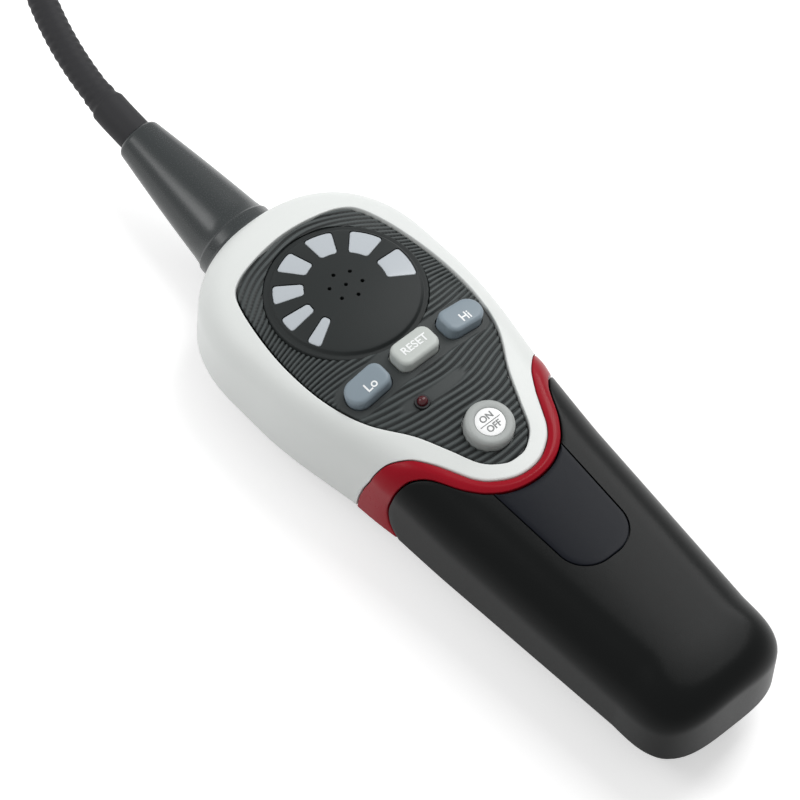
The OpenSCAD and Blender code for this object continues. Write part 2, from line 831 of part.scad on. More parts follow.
nut_t = 4;
ferrule_len = 4;
tip_y = head_nose + fit + nose_len * cos(nose_tilt);
tip_z = nose_h + nose_len * sin(nose_tilt);
neck_inside = nose_len + flange_in + nut_t + ferrule_len;    // length of neck inside nose and head
neck_end_z = tip_d / 2;                  // the tip lies on the same surface as the back
neck_turn = (neck_len - neck_straight) / neck_bend_r * 180 / PI;

// Neck axis at a distance s from the tip of the nose: straight, then bent to the right and down
function neck_point(s) =
    let (a = max(0, s - neck_straight) / neck_bend_r * 180 / PI)
    s < 0 ? [0, tip_y + s * cos(nose_tilt), tip_z + s * sin(nose_tilt)] :
    [neck_bend_r * (1 - cos(a)), tip_y + min(s, neck_straight) * cos(nose_tilt) + neck_bend_r * sin(a),
     hermite(tip_z, neck_end_z, neck_len * tan(nose_tilt), 0, s / neck_len)];
function unit(v) = v / norm(v);
function neck_aim(s) = unit(neck_point(s + 0.1) - neck_point(s - 0.1));
function neck_ring(s, r, sides) =
    let (aim = neck_aim(s), side = unit(cross(aim, [0, 0, 1])), up = cross(side, aim))
    [for (i = [0:sides - 1]) let (a = 360 * i / sides) neck_point(s) + r * (cos(a) * side + sin(a) * up)];
// Faces between ring k and ring m of a tube
function ring_faces(k, m, sides) =
    [for (i = [0:sides - 1]) let (j = (i + 1) % sides)
        [k * sides + i, m * sides + i, m * sides + j, k * sides + j]];

module gooseneck() {
    sides = 10;
    last = 52;
    stops = concat([-neck_inside], [for (i = [0:last - 1]) neck_len * i / (last - 1)]);
    color("#323234") polyhedron([for (s = stops) each neck_ring(s, neck_d / 2, sides)],
        concat([[for (i = [0:sides - 1]) i]],
               [for (k = [0:last - 1]) each ring_faces(k, k + 1, sides)],
               [[for (i = [sides - 1:-1:0]) last * sides + i]]));
}

// The rings run up the outside of the sleeve and back down its bore
module neck_sleeve() {
    sides = 16;
    half = 5;
    stops = [for (i = [0:half]) lerp(fit, sleeve_len, i / half)];
    bore = neck_d / 2 + 2 * fit;
    color("#2a2a2c") polyhedron(
        concat([for (s = stops) each neck_ring(s, sleeve_d / 2, sides)],
               [for (s = reversed(stops)) each neck_ring(s, bore, sides)]),
        [for (k = [0:2 * half + 1]) each ring_faces(k, (k + 1) % (2 * half + 2), sides)]);
}

module neck_nut() {
    color("silver") nose_frame() translate([0, 0, -flange_in - fit - nut_t]) difference() {
        cylinder(d = nose_bore + 7, h = nut_t, $fn = 6);
        translate([0, 0, -1]) cylinder(d = nose_bore, h = nut_t + 2);
    }
}

module neck_ferrule() {
    color("goldenrod") nose_frame()
    translate([0, 0, -flange_in - 2 * fit - nut_t - ferrule_len]) difference() {
        cylinder(d = nose_bore + 2, h = ferrule_len);
        translate([0, 0, -1]) cylinder(d = nose_bore, h = ferrule_len + 2);
    }
}

// Sensor tip

module tip_frame() {
    translate(neck_point(neck_len)) rotate([0, 0, -neck_turn]) rotate([-90, 0, 0]) children();
}

spigot_len = 4;
spigot_r = tip_d / 2 - cap_wall - fit;

module tip_collar() {
    color(black) tip_frame() rotate_extrude() polygon(
        [[0, fit], [neck_d / 2 + 0.6, fit], [tip_d / 2 - 0.3, 4], [tip_d / 2 - 0.3, collar_len],
         [spigot_r, collar_len], [spigot_r, collar_len + spigot_len], [0, collar_len + spigot_len]]);
}

module sensor_cap() {
    start = collar_len + fit;
    edge = 2.5;
    inner = tip_d / 2 - cap_wall;
    hole_r = 1.5;
    color("silver") tip_frame() difference() {
        rotate_extrude() polygon(concat(
            [[inner, start], [tip_d / 2, start]],
            arc([tip_d / 2 - edge, start + cap_len - edge], edge, 0, 90, 5),
            [[hole_r, start + cap_len], [hole_r, start + cap_len - cap_wall],
             [inner, start + cap_len - cap_wall - edge]]));
        for (i = [0:cap_slots - 1]) rotate([0, 0, 360 * (i + 0.5) / cap_slots])
            translate([0, -0.6, start + spigot_len + 3]) cube([tip_d, 1.2, cap_len - spigot_len - 8]);
    }
}

module sensor_element() {
    color("goldenrod") tip_frame() translate([0, 0, collar_len + spigot_len + fit])
        cylinder(d = sensor_d, h = cap_len - spigot_len - 7);
}

module tip_filter() {
    color("white") tip_frame() translate([0, 0, collar_len + cap_len - 6])
        cylinder(r = tip_d / 2 - cap_wall - fit, h = 6 - cap_wall - 2.5);
}

// Inside the head

board_top = board_h + board_t;
board_head = 22;
board_tail = -power_y - switch_w / 2 - 3;
board_waist = -key_row_y - 10;

module circuit_board() {
    w = board_w / 2;
    t = board_tail_w / 2;
    color("darkgreen") translate([0, 0, board_h + fit]) linear_extrude(board_t - fit) difference() {
        polygon(both_sides([[w, board_head], [w, board_waist], [t, board_waist - w + t], [t, board_tail]]));
        for (spot = post_spots) translate(spot) circle(d = screw_d + 2 * fit);
    }
}

module board_screws() {
    color("silver") for (spot = post_spots) translate([spot[0], spot[1], 0]) {
        translate([0, 0, board_h - board_screw_l]) cylinder(d = screw_d, h = board_screw_l + board_t + fit);
        translate([0, 0, board_top + fit]) cylinder(d = screw_head_d, h = 1.6);
    }
}

module signal_lamps() {
    color("lightyellow") for (i = [1:7]) rotate([0, 0, window_start(i) - window_angle(i) / 2])
        translate([(window_r1 + window_r2) / 2, 0, board_top + fit + 0.6]) cube([2, 3, 1.2], center = true);
}

module sounder() {
    color(black) translate([0, 0, board_top + fit]) difference() {
        cylinder(d = sounder_d, h = 6);
        translate([0, 0, 3]) cylinder(d = 2.4, h = 4);
    }
}

module control_chip() {
    color(black) translate([-4, -13.5, board_top + fit]) cube([8, 5, 1.4]);
}

// Switch below a key whose underside is at a given height, tilted by a given angle
module key_switch(spot, under, tilt) {
    top = under - (key_travel + 2 * fit) / cos(tilt) - plunger_d / 2 * tan(tilt);
    translate([spot[0], spot[1], board_top + fit]) {
        translate([-switch_w / 2, -switch_w / 2, 0]) cube([switch_w, switch_w, switch_h]);
        cylinder(d = plunger_d, h = max(top - board_top - fit, switch_h + 0.1));
    }
}

module key_switches() {
    row_tilt = atan(crest_slope(-key_row_y));
    power_tilt = atan(crest_slope(-power_y));
    color("dimgray") {
        for (i = [-1:1]) let (x = i * key_pitch, lean = asin(x / crown_r))
            key_switch([x + key_bottom * sin(lean), -key_row_y - key_bottom * sin(row_tilt)],
                       front_z(x, -key_row_y) + key_bottom * cos(lean) * cos(row_tilt), abs(lean) + row_tilt);
        key_switch([0, -power_y - key_bottom * sin(power_tilt)],
                   crest(-power_y) + key_bottom * cos(power_tilt), power_tilt);
    }
}

plug_y = 8;
plug_h = 4;
lead_d = 2.4;

module lead_plug() {
    color("ivory") translate([-4, plug_y - 3, board_h - plug_h]) cube([8, 6, plug_h]);
}

// From the end of the neck along the head, then up to the plug
module sensor_lead() {
    start = neck_point(-neck_inside - 2 * fit);
    color("dimgray") translate([0, plug_y, start[2]]) {
        rotate([-90, 0, 0]) cylinder(d = lead_d, h = start[1] - plug_y - lead_d / 4);
        sphere(d = lead_d);
        cylinder(d = lead_d, h = board_h - plug_h - fit - start[2]);
    }
}

// Batteries: two layers of two cells

module cell_place(i) {
    side = i % 2 == 0 ? 1 : -1;
    translate([side * (cell_d + cell_gap) / 2, cell_tail, cell_h + (i > 2 ? cell_d + cell_gap : 0)])
        rotate([-90, 0, 0]) children();
}

module battery_cell(i) {
    color("steelblue") cell_place(i) rotate_extrude() polygon(
        [[0, 0], [cell_d / 2, 0], [cell_d / 2, cell_l - 1], [2.7, cell_l - 1], [2.7, cell_l], [0, cell_l]]);
}

// Plates at both ends of the cells, held between the walls of the bay
module battery_contacts() {
    plate_h = cell_d + cell_gap + 4;
    middle = cell_h + (cell_d + cell_gap) / 2;
    color("silver") for (side = [0, 1]) mirror([side, 0, 0]) {
        translate([1, cell_tail - fit - contact_t, middle - plate_h / 2])
            cube([cell_d - 4, contact_t, plate_h]);
        translate([1, cell_head + fit, middle - plate_h / 2]) cube([cell_d - 4, contact_t, plate_h]);
    }
}

module door_screw() {
    color("silver") door_screw_spot() {
        cylinder(d = screw_head_d, h = door_screw_head);
        cylinder(d = screw_d, h = wall + ledge_t);
    }
}

module case_screws() {
    color("silver") for (spot = screw_spots) translate([spot[0], spot[1], 0]) {
        translate([0, 0, screw_seat - screw_head_h - fit]) cylinder(d = screw_head_d, h = screw_head_h);
        translate([0, 0, screw_seat - fit]) cylinder(d = screw_d, h = seam_h - screw_seat + screw_bite);
    }
}

front_shell();
rear_case();
red_band();
handle_front();
handle_plate();
keypad_panel();
indicator_disc();
signal_window(1);  // signal_window_1
signal_window(2);  // signal_window_2
signal_window(3);  // signal_window_3
signal_window(4);  // signal_window_4
signal_window(5);  // signal_window_5
signal_window(6);  // signal_window_6
signal_window(7);  // signal_window_7
low_key();
reset_key();
high_key();
power_key();
power_inlay();
lamp_lens();
lamp_bezel();
nose_cone();
neck_sleeve();
gooseneck();
neck_ferrule();
neck_nut();
tip_collar();
sensor_cap();
tip_filter();
sensor_element();
circuit_board();
board_screws();
signal_lamps();
key_switches();
sounder();
control_chip();
sensor_lead();
lead_plug();
battery_cell(1);  // battery_cell_1
battery_cell(2);  // battery_cell_2
battery_cell(3);  // battery_cell_3
battery_cell(4);  // battery_cell_4
battery_contacts();
battery_door();
door_screw();
case_screws();
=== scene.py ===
import json
from math import asin, atan, atan2, copysign, cos, degrees, hypot, pi, radians, sin, sqrt, tan
import bpy
import bmesh
from mathutils import Matrix, Vector


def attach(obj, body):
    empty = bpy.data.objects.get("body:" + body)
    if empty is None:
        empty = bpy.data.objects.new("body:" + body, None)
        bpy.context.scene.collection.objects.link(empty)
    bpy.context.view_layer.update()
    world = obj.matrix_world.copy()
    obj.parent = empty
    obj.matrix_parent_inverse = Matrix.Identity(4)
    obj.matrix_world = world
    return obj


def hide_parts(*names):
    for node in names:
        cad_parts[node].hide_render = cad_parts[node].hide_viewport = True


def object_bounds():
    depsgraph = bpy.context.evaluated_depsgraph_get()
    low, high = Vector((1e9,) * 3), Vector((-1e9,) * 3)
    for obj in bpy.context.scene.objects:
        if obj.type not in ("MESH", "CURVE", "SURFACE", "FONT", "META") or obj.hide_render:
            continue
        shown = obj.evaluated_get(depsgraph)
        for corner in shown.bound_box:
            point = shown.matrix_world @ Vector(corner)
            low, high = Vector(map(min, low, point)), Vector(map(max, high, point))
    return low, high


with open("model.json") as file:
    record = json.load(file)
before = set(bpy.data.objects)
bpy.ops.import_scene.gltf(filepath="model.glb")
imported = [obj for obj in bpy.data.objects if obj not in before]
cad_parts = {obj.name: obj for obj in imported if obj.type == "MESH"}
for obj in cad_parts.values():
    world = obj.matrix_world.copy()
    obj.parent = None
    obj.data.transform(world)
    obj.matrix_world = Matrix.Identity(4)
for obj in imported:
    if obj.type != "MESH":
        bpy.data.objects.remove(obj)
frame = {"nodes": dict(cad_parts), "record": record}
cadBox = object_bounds()
mm = 0.001
print("frame loaded,", len(frame["nodes"]), "nodes")

# form of the housing, in millimetres, as the solids have it
housing = {
    "headW": 60, "headNose": 33.5, "handleEnd": 134.2, "waistW": 50, "waistY": 45,
    "tailW": 40.5, "tailRound": 18, "headH": 39.5, "discH": 37.6, "gripH": 36.7, "tailH": 34.2, "seamH": 11.8,
    "crownR": 70, "noseCrownR": 108, "gripCrownR": 80,
    "shoulderR": 9, "gripShoulderR": 12.5, "tailShoulderR": 6.5,
    "wall": 2, "seamStep": 2, "backEdge": 12, "gripBackEdge": 9, "bandY": 63.4,
    "discTilt": 4.6, "tiltMore": 1.1,
    "headSpine": 4, "headStraight": -6, "ridge": -27, "nosePower": 2.35, "tailPower": 3.4,
}
tailSpine = housing["tailRound"] - housing["handleEnd"]
gripSlope = (housing["gripH"] - housing["tailH"]) / (-housing["bandY"] - tailSpine)
discSlope = tan(radians(housing["discTilt"])) * housing["tiltMore"]
taper = (housing["waistW"] - housing["tailW"]) / 2 / (-housing["waistY"] - tailSpine)
hair = 1e-9    # keeps a point on its own side of the middle


def lerp(a, b, t):
    return a + (b - a) * t


def clamp(t):
    return max(0.0, min(1.0, t))


def hermite(a, b, ma, mb, t):
    return (a * (2 * t**3 - 3 * t**2 + 1) + b * (3 * t**2 - 2 * t**3)
            + ma * (t**3 - 2 * t**2 + t) + mb * (t**3 - t**2))


def smoothCurve(points, pieces=8):
    vs = [Vector(p) for p in points]
    out = []
    for i in range(len(vs) - 1):
        before, after = vs[max(i - 1, 0)], vs[min(i + 2, len(vs) - 1)]
        if i == 0 and vs[0][0] == 0:
            before = Vector((-vs[1][0], vs[1][1]))    # the mirror image goes on from the middle
        ma, mb = (vs[i + 1] - before) / 2, (after - vs[i]) / 2
        out += [hermite(vs[i], vs[i + 1], ma, mb, k / pieces) for k in range(pieces)]
    return out + [vs[-1]]


# even steps along a line of points
def resample(points, count):
    lengths = [0.0]
    for a, b in zip(points, points[1:]):
        lengths.append(lengths[-1] + (b - a).length)
    out, k = [], 0
    for i in range(count + 1):
        want = lengths[-1] * i / count
        while k < len(points) - 2 and lengths[k + 1] < want:
            k += 1
        span = lengths[k + 1] - lengths[k]
        out.append(points[k].lerp(points[k + 1], (want - lengths[k]) / span if span else 0))
    return out


def arc(cx, cy, r, a, b, steps):
    turns = [radians(lerp(a, b, i / steps)) for i in range(steps + 1)]
    return [Vector((cx + r * cos(t), cy + r * sin(t))) for t in turns]


def halfWidth(y):
    h = housing
    if y >= h["headStraight"]:
        return h["headW"] / 2
    if y >= -h["waistY"]:
        span = h["headStraight"] + h["waistY"]
        return hermite(h["headW"] / 2, h["waistW"] / 2, 0, -taper * span, (h["headStraight"] - y) / span)
    return h["waistW"] / 2 + taper * (y + h["waistY"])


def crest(y):
    h = housing
    if y >= h["ridge"]:
        span = h["headSpine"] - h["ridge"]
        return hermite(h["discH"], h["headH"], discSlope * span, 0, (h["headSpine"] - y) / span)
    if y >= -h["bandY"]:
        span = h["ridge"] + h["bandY"]
        return hermite(h["headH"], h["gripH"], 0, -gripSlope * span, (h["ridge"] - y) / span)
    return h["gripH"] + gripSlope * (y + h["bandY"])


def crestSlope(y):
    return crest(y + 0.5) - crest(y - 0.5)


def gripShare(y):
    return clamp((housing["ridge"] - y) / (housing["ridge"] + housing["bandY"]))


def crownAt(y):
    return lerp(housing["crownR"], housing["gripCrownR"], gripShare(y))


def frontZ(x, y):
    return crest(y) - crownAt(y) + sqrt(crownAt(y)**2 - x**2)


def endReach(a, rx, ry, power):
    return (abs(cos(a) / rx)**power + abs(sin(a) / ry)**power)**(-1 / power)


# a spoke stands on the spine: where, which way, and its reach, crown, shoulder, fall and top
def spokeAt(across, along):
    h = housing
    if along > h["headSpine"]:
        spine, a = h["headSpine"], atan2(along - h["headSpine"], abs(across))
        reach = endReach(a, h["headW"] / 2, h["headNose"] - spine, h["nosePower"])
        crown = 1 / (cos(a)**2 / h["crownR"] + sin(a)**2 / h["noseCrownR"])
        return spine, a, reach, crown, h["shoulderR"], discSlope * sin(a), crest(spine)
    if along < tailSpine:
        spine, a = tailSpine, atan2(along - tailSpine, abs(across))
        reach = endReach(a, h["tailW"] / 2, h["tailRound"], h["tailPower"])
        roll = lerp(h["gripShoulderR"], h["tailShoulderR"], sin(a)**2)
        return spine, a, reach, h["gripCrownR"], roll, -gripSlope * sin(a), crest(spine)
    roll = lerp(h["shoulderR"], h["gripShoulderR"], gripShare(along))
    return along, 0.0, halfWidth(along), crownAt(along), roll, 0.0, crest(along)


# a place r out along a spoke, on the side that across lies on
def outAlong(across, spine, a, r):
    side = -1 if across < 0 else 1
    return Vector((side * r * cos(a), spine + r * sin(a)))


# lengths along the section to the end of the crown, to the straight wall and to the seam
def sectionLengths(spoke):
    spine, a, reach, crown, roll, fall, top = spoke
    turn = asin((reach - roll) / (crown - roll))
    level = top - crown + (crown - roll) * cos(turn)
    toTurn = crown * turn
    toWall = toTurn + roll * (pi / 2 - turn)
    return turn, level, toTurn, toWall, toWall + level - fall * reach - housing["seamH"]


# a point of the flat pattern of the front skin, folded back on to the housing, at a depth below the skin
def onFront(p, depth=0.0):
    spoke = spokeAt(p[0], p[1])
    spine, a, reach, crown, roll, fall, top = spoke
    turn, level, toTurn, toWall, toSeam = sectionLengths(spoke)
    e = hypot(p[0], p[1] - spine)
    if e <= toTurn:
        r, z = (crown - depth) * sin(e / crown), top - crown + (crown - depth) * cos(e / crown)
    elif e <= toWall:
        phi = turn + (e - toTurn) / roll
        r, z = reach - roll + (roll - depth) * sin(phi), level + (roll - depth) * cos(phi)
    else:
        r, z = reach - depth, level - (e - toWall)
    return Vector((*outAlong(p[0], spine, a, r), z - fall * r))


# a point seen from above, laid out on the flat pattern; drop goes on down the straight wall
def unroll(x, y, drop=None):
    spoke = spokeAt(x, y)
    spine, a, reach, crown, roll = spoke[:5]
    turn, level, toTurn, toWall, toSeam = sectionLengths(spoke)
    r = hypot(x, y - spine)
    if drop is not None:
        e = toWall + drop
    elif r <= crown * sin(turn):
        e = crown * asin(r / crown)
    else:
        e = toTurn + roll * (asin(min(1.0, (r - reach + roll) / roll)) - turn)
    return outAlong(x, spine, a, e)


# a place seen from above, put on the front at a depth below the skin
def onPlan(p, depth=0.0):
    return onFront(unroll(p[0], p[1]), depth)


def atSeam(across, along):
    spoke = spokeAt(across, along)
    return outAlong(across, spoke[0], spoke[1], sectionLengths(spoke)[4])


# a cut across the flat pattern from a to b, with rows of how far along and how deep
def acrossFront(a, b, rows):
    way = (b - a) / (b - a).length
    return [onFront(a + way * s, d) for s, d in rows]


def mirrored(points):
    return [Vector((-p[0], *p[1:])) for p in points]


# left end to right end of a line given on the right-hand side only
def bothSides(points):
    return mirrored(points)[:0:-1] + list(points)


def softenShading(obj, angle):
    obj.data.shade_smooth()
    obj.data.set_sharp_from_angle(angle=radians(angle))


def addObject(name, data):
    obj = bpy.data.objects.new(name, data)
    bpy.context.scene.collection.objects.link(obj)
    return obj


def addMesh(name, points, faces, angle=40):
    mesh = bpy.data.meshes.new(name)
    mesh.from_pydata([Vector(p) * mm for p in points], [], faces)
    bm = bmesh.new()
    bm.from_mesh(mesh)
    bmesh.ops.remove_doubles(bm, verts=bm.verts, dist=1e-7)
    bmesh.ops.dissolve_degenerate(bm, edges=bm.edges, dist=1e-8)
    bmesh.ops.recalc_face_normals(bm, faces=bm.faces)
    bm.to_mesh(mesh)
    bm.free()
    obj = addObject(name, mesh)
    softenShading(obj, angle)
    return obj


# faces between rings of points, one after another; closed goes back from the last ring to the first
def ringFaces(rings, size, closed=False, wrap=True):
    faces = []
    for i in range(rings if closed else rings - 1):
        a, b = i * size, (i + 1) % rings * size
        for k in range(size if wrap else size - 1):
            m = (k + 1) % size
            faces.append((a + k, a + m, b + m, b + k))
    return faces


# a closed chain of rings, or an open one with a flat face at either end
def joinRings(name, rings, closed=False, angle=60):
    size, count = len(rings[0]), len(rings)
    faces = ringFaces(count, size, closed=closed)
    if not closed:
        faces += [tuple(range(size)), tuple(range((count - 1) * size, count * size))]
    return addMesh(name, [p for ring in rings for p in ring], faces, angle)


# rings from the bottom up, drawn to a middle point above and below
def addCapped(name, rings, top, bottom, angle):
    size = len(rings[0])
    last = (len(rings) - 1) * size
    points = [p for ring in rings for p in ring] + [top, bottom]
    faces = ringFaces(len(rings), size)
    faces += [(last + k, last + (k + 1) % size, len(points) - 2) for k in range(size)]
    faces += [((k + 1) % size, k, len(points) - 1) for k in range(size)]
    return addMesh(name, points, faces, angle)


# a sheet given by a grid, with the same grid below it and its open sides closed; a folded end needs no face
def addSheet(name, top, under, angle=40, folded=False):
    rows, cols = len(top), len(top[0])
    low = rows * cols
    skin = ringFaces(rows, cols, wrap=False)
    faces = skin + [tuple(low + i for i in reversed(f)) for f in skin]
    edges = [(r * cols + c, (r + 1) * cols + c) for r in range(rows - 1) for c in (0, cols - 1)]
    edges += [(c, c + 1) for c in range(cols - 1)]
    if not folded:
        edges += [(low - cols + c, low - cols + c + 1) for c in range(cols - 1)]
    faces += [(a, b, low + b, low + a) for a, b in edges]
    return addMesh(name, [p for row in top + under for p in row], faces, angle)


def cutWith(obj, cutters, operation="DIFFERENCE", angle=40):
    for cutter in cutters:
        mod = obj.modifiers.new("cut", "BOOLEAN")
        mod.operation, mod.solver, mod.object = operation, "EXACT", cutter
        deps = bpy.context.evaluated_depsgraph_get()
        made = bpy.data.meshes.new_from_object(obj.evaluated_get(deps))
        obj.modifiers.clear()
        obj.data = made
        bpy.data.objects.remove(cutter)
    softenShading(obj, angle)
    return obj


# a straight-sided cutter from a closed line, in a frame given by a matrix
def prism(loop, low, high, matrix=Matrix()):
    ends = [[matrix @ Vector((p[0], p[1], z)) for p in loop] for z in (low, high)]
    return joinRings("cutter", ends, angle=40)


def circleLoop(r, sides=48, cx=0.0, cy=0.0):
    return arc(cx, cy, r, 0, 360, sides)[:-1]


def boxLoop(halfX, halfY, cx=0.0, cy=0.0):
    return [Vector((cx + i * halfX, cy + j * halfY)) for i, j in ((-1, -1), (1, -1), (1, 1), (-1, 1))]


# a rounded rectangle; the corners on one side may be rounder
def roundedLoop(halfX, halfY, corner, grow, steps, cy=0.0, rounder=0, more=0.0):
    loop = []
    for side, up, start in ((1, -1, -90), (1, 1, 0), (-1, 1, 90), (-1, -1, 180)):
        r = corner + (more if side == rounder else 0)
        loop += arc(side * (halfX - r), cy + up * (halfY - r), r + grow, start, start + 90, steps)
    return [p for i, p in enumerate(loop) if (p - loop[i - 1]).length > 1e-4]


# a closed line moved inwards by a distance
def inset(loop, distance):
    out, size = [], len(loop)
    for i, p in enumerate(loop):
        way = loop[(i + 1) % size] - loop[i - 1]
        out.append(p + Vector((-way[1], way[0])).normalized() * distance)
    return out


# rounded profile of an edge: how far in, how deep
def lipProfile(r, steps=4):
    turns = [pi / 2 * i / steps for i in range(steps + 1)]
    return [(r * (1 - cos(t)), r * (1 - sin(t))) for t in turns]


# a plate with a rounded edge: fold gives a point in space for a place and a depth
def addPlate(name, loop, fold, lip, base, rings=6, angle=50):
    edge = inset(loop, lip)
    middle = sum(edge, Vector((0, 0))) / len(loop)
    levels = [[fold(p, depth) for p in inset(loop, way)] for way, depth in [(0, base)] + lipProfile(lip)]
    levels += [[fold(p.lerp(middle, k / rings), 0) for p in edge] for k in range(1, rings)]
    return addCapped(name, levels, fold(middle, 0), fold(middle, base), angle)


# a turned piece: profile of (radius, height), in a frame given by a matrix
def addTurned(name, profile, matrix=Matrix(), sides=96, angle=40):
    turns = [2 * pi * k / sides for k in range(sides)]
    points = [matrix @ Vector((r * cos(t), r * sin(t), z)) for r, z in profile for t in turns]
    return addMesh(name, points, ringFaces(len(profile), sides, closed=profile[0][0] > 0), angle)


# edges of the panel and of the band, seen from above, on the right-hand side
panel = {
    "width": 48, "nose": 22.2, "tail": 59.4, "sink": 0.45, "gap": 0.4, "base": 1.9, "lip": 0.5,
    "shape": [(0, 1), (0.42, 0.955), (0.69, 0.87), (0.825, 0.71), (0.935, 0.29), (1, -0.1), (0.983, -0.32),
              (0.858, -0.512), (0.605, -0.682), (0.45, -0.816), (0.315, -0.93), (0.133, -0.99), (0, -1)],
    "rowStep": 0.13, "columns": 64, "leastHalf": 0.8, "leastFlat": 0.2, "lipShare": 0.6, "endRows": 4,
    "cut": 12, "discGap": 0.15, "lampSpot": (-7.6, -35), "lampHole": 1.9,
}
panelEdge = smoothCurve([(x * panel["width"] / 2, y * (panel["nose"] if y > 0 else panel["tail"]))
                         for x, y in panel["shape"]], 10)
band = {
    "front": [(0, -63.4), (4.5, -62.58), (9, -59.84), (11.5, -56.96), (13, -54.08), (14.3, -51.4),
              (15.6, -48.8), (17.7, -45.4), (19.6, -43), (22.8, -40.25), (25, -38.9)],
    "frontWall": [(1.5, -37.7), (6, -36.3), (11, -35.2)], "frontSeam": -34.8,
    "back": [(0, -66.4), (4.5, -65.8), (8.5, -64.15), (11.7, -61.7), (13.3, -59.9), (15, -57.6),
             (16.3, -55.3), (17.4, -53), (18.6, -50.7), (20, -48.8), (22.2, -46.75), (24.2, -45.6)],
    "backWall": [(1, -44.6), (5, -43.9), (8.5, -44.1), (11.5, -45.2)], "backSeam": -47.6,
    "lip": 0.45, "gap": 0.2, "crown": 0.28, "crownSteps": 10, "steps": 150,
}


# an edge of the band on the flat pattern: over the front, then down the wall to the seam
def bandEdge(edge):
    flat = [unroll(x, y) for x, y in band[edge]]
    flat += [unroll(halfWidth(y), y, drop) for drop, y in band[edge + "Wall"]]
    return smoothCurve(flat + [atSeam(1, band[edge + "Seam"])])


bandFront, bandBack = bandEdge("front"), bandEdge("back")

# the white shell: a ring from the edge of the panel out to the seam and to the band
shell = {"aheadSteps": 84, "bandSteps": 72, "innerLip": 0.35, "outerLip": 0.6, "rows": 26, "cornerY": -33.0,
         "seamEvery": 1.0}


def buildWhiteShell():
    inner = [unroll(p[0], p[1]) for p in panelEdge]
    split = min(range(len(panelEdge)), key=lambda i: abs(panelEdge[i][1] - shell["cornerY"]))
    turns = [radians(a) for a in range(90, 0, -2)]
    seam = [atSeam(cos(t), housing["headSpine"] + sin(t)) for t in turns]
    y = housing["headSpine"]
    while y > bandFront[-1][1] + shell["seamEvery"] / 2:
        seam.append(atSeam(1, y))
        y -= shell["seamEvery"]
    seam.append(bandFront[-1])
    ahead, beside = shell["aheadSteps"], shell["bandSteps"]
    half = list(zip(resample(inner[:split + 1], ahead), resample(seam, ahead)))
    half += list(zip(resample(inner[split:], beside), resample(bandFront[::-1], beside)))[1:]
    lip, outer, wall = shell["innerLip"], shell["outerLip"], housing["wall"]
    rings = []
    for a, b in half + [mirrored(pair) for pair in half[-2:0:-1]]:
        length = (b - a).length
        rows = [(0, wall)] + lipProfile(lip)
        rows += [(lerp(lip, length - outer, k / shell["rows"]), 0) for k in range(1, shell["rows"])]
        rows += [(length - s, d) for s, d in reversed(lipProfile(outer, 3))]
        rings.append(acrossFront(a, b, rows + [(length, wall), (length / 2, wall)]))
    return cutWith(joinRings("whiteShell", rings, closed=True, angle=50), [noseRoom()], angle=50)


# the red band: an arch from seam to seam, a little crowned
def buildRedBand():
    gap, lip, wall = band["gap"], band["lip"], housing["wall"]
    shares = [k / band["crownSteps"] for k in range(1, band["crownSteps"])]
    edge = [(gap, wall)] + [(gap + s, d) for s, d in lipProfile(lip)]
    rings = []
    for a, b in zip(*(resample(bothSides(line), band["steps"]) for line in (bandFront, bandBack))):
        length = (b - a).length
        low, high = gap + lip, length - gap - lip
        rows = edge + [(lerp(low, high, t), -band["crown"] * sin(pi * t)) for t in shares]
        rings.append(acrossFront(a, b, rows + [(length - s, d) for s, d in reversed(edge)]))
    return joinRings("redBand", rings, angle=50)


# the handle: rows from the band to the start of the rounded end, then a fan
handle = {"columns": 80, "rows": 70, "fan": 26, "lip": 0.4, "edgeRows": (1.8, 2.8, 3.8), "bodyFrom": 4.0}


def buildHandle():
    cols = handle["columns"]
    shares = [2 * c / cols - 1 for c in range(cols + 1)]
    first = [p + Vector((0, -band["gap"])) for p in resample(bothSides(bandBack), cols)]
    reach = sectionLengths(spokeAt(1, tailSpine))[4]
    last = [Vector((reach * share, tailSpine)) for share in shares]

    def rowBelow(way):
        return [a.lerp(b, min(1.0, way / (b - a).length)) for a, b in zip(first, last)]

    rows = [(rowBelow(s), d) for s, d in lipProfile(handle["lip"]) + [(s, 0) for s in handle["edgeRows"]]]
    start = rowBelow(handle["bodyFrom"])
    for k in range(1, handle["rows"] + 1):
        rows.append(([a.lerp(b, k / handle["rows"]) for a, b in zip(start, last)], 0))
    for k in range(1, handle["fan"] + 1):
        a = -pi / 2 * k / handle["fan"]
        far = sectionLengths(spokeAt(max(cos(a), hair), tailSpine + sin(a)))[4]
        rows.append(([Vector((copysign(max(abs(share) * far * cos(a), hair), share),
                              tailSpine + abs(share) * far * sin(a))) for share in shares], 0))
    top = [[onFront(p, depth) for p in row] for row, depth in rows]
    under = [[onFront(p, housing["wall"]) for p in row] for row, depth in rows]
    return addSheet("handleGrip", top, under, 45, folded=True)


plate = {"width": 22, "end": 92, "corner": 8, "narrow": 1.5, "belowBand": 0.35, "groove": 0.28, "lip": 0.3,
         "base": 0.7, "underBand": 0.6, "besideTop": 0.2, "cut": (20, 60),
         "seatBelow": 0.5, "seatMore": 0.3, "seatGap": 0.05, "seatLip": 0.1, "seatBase": 0.9}


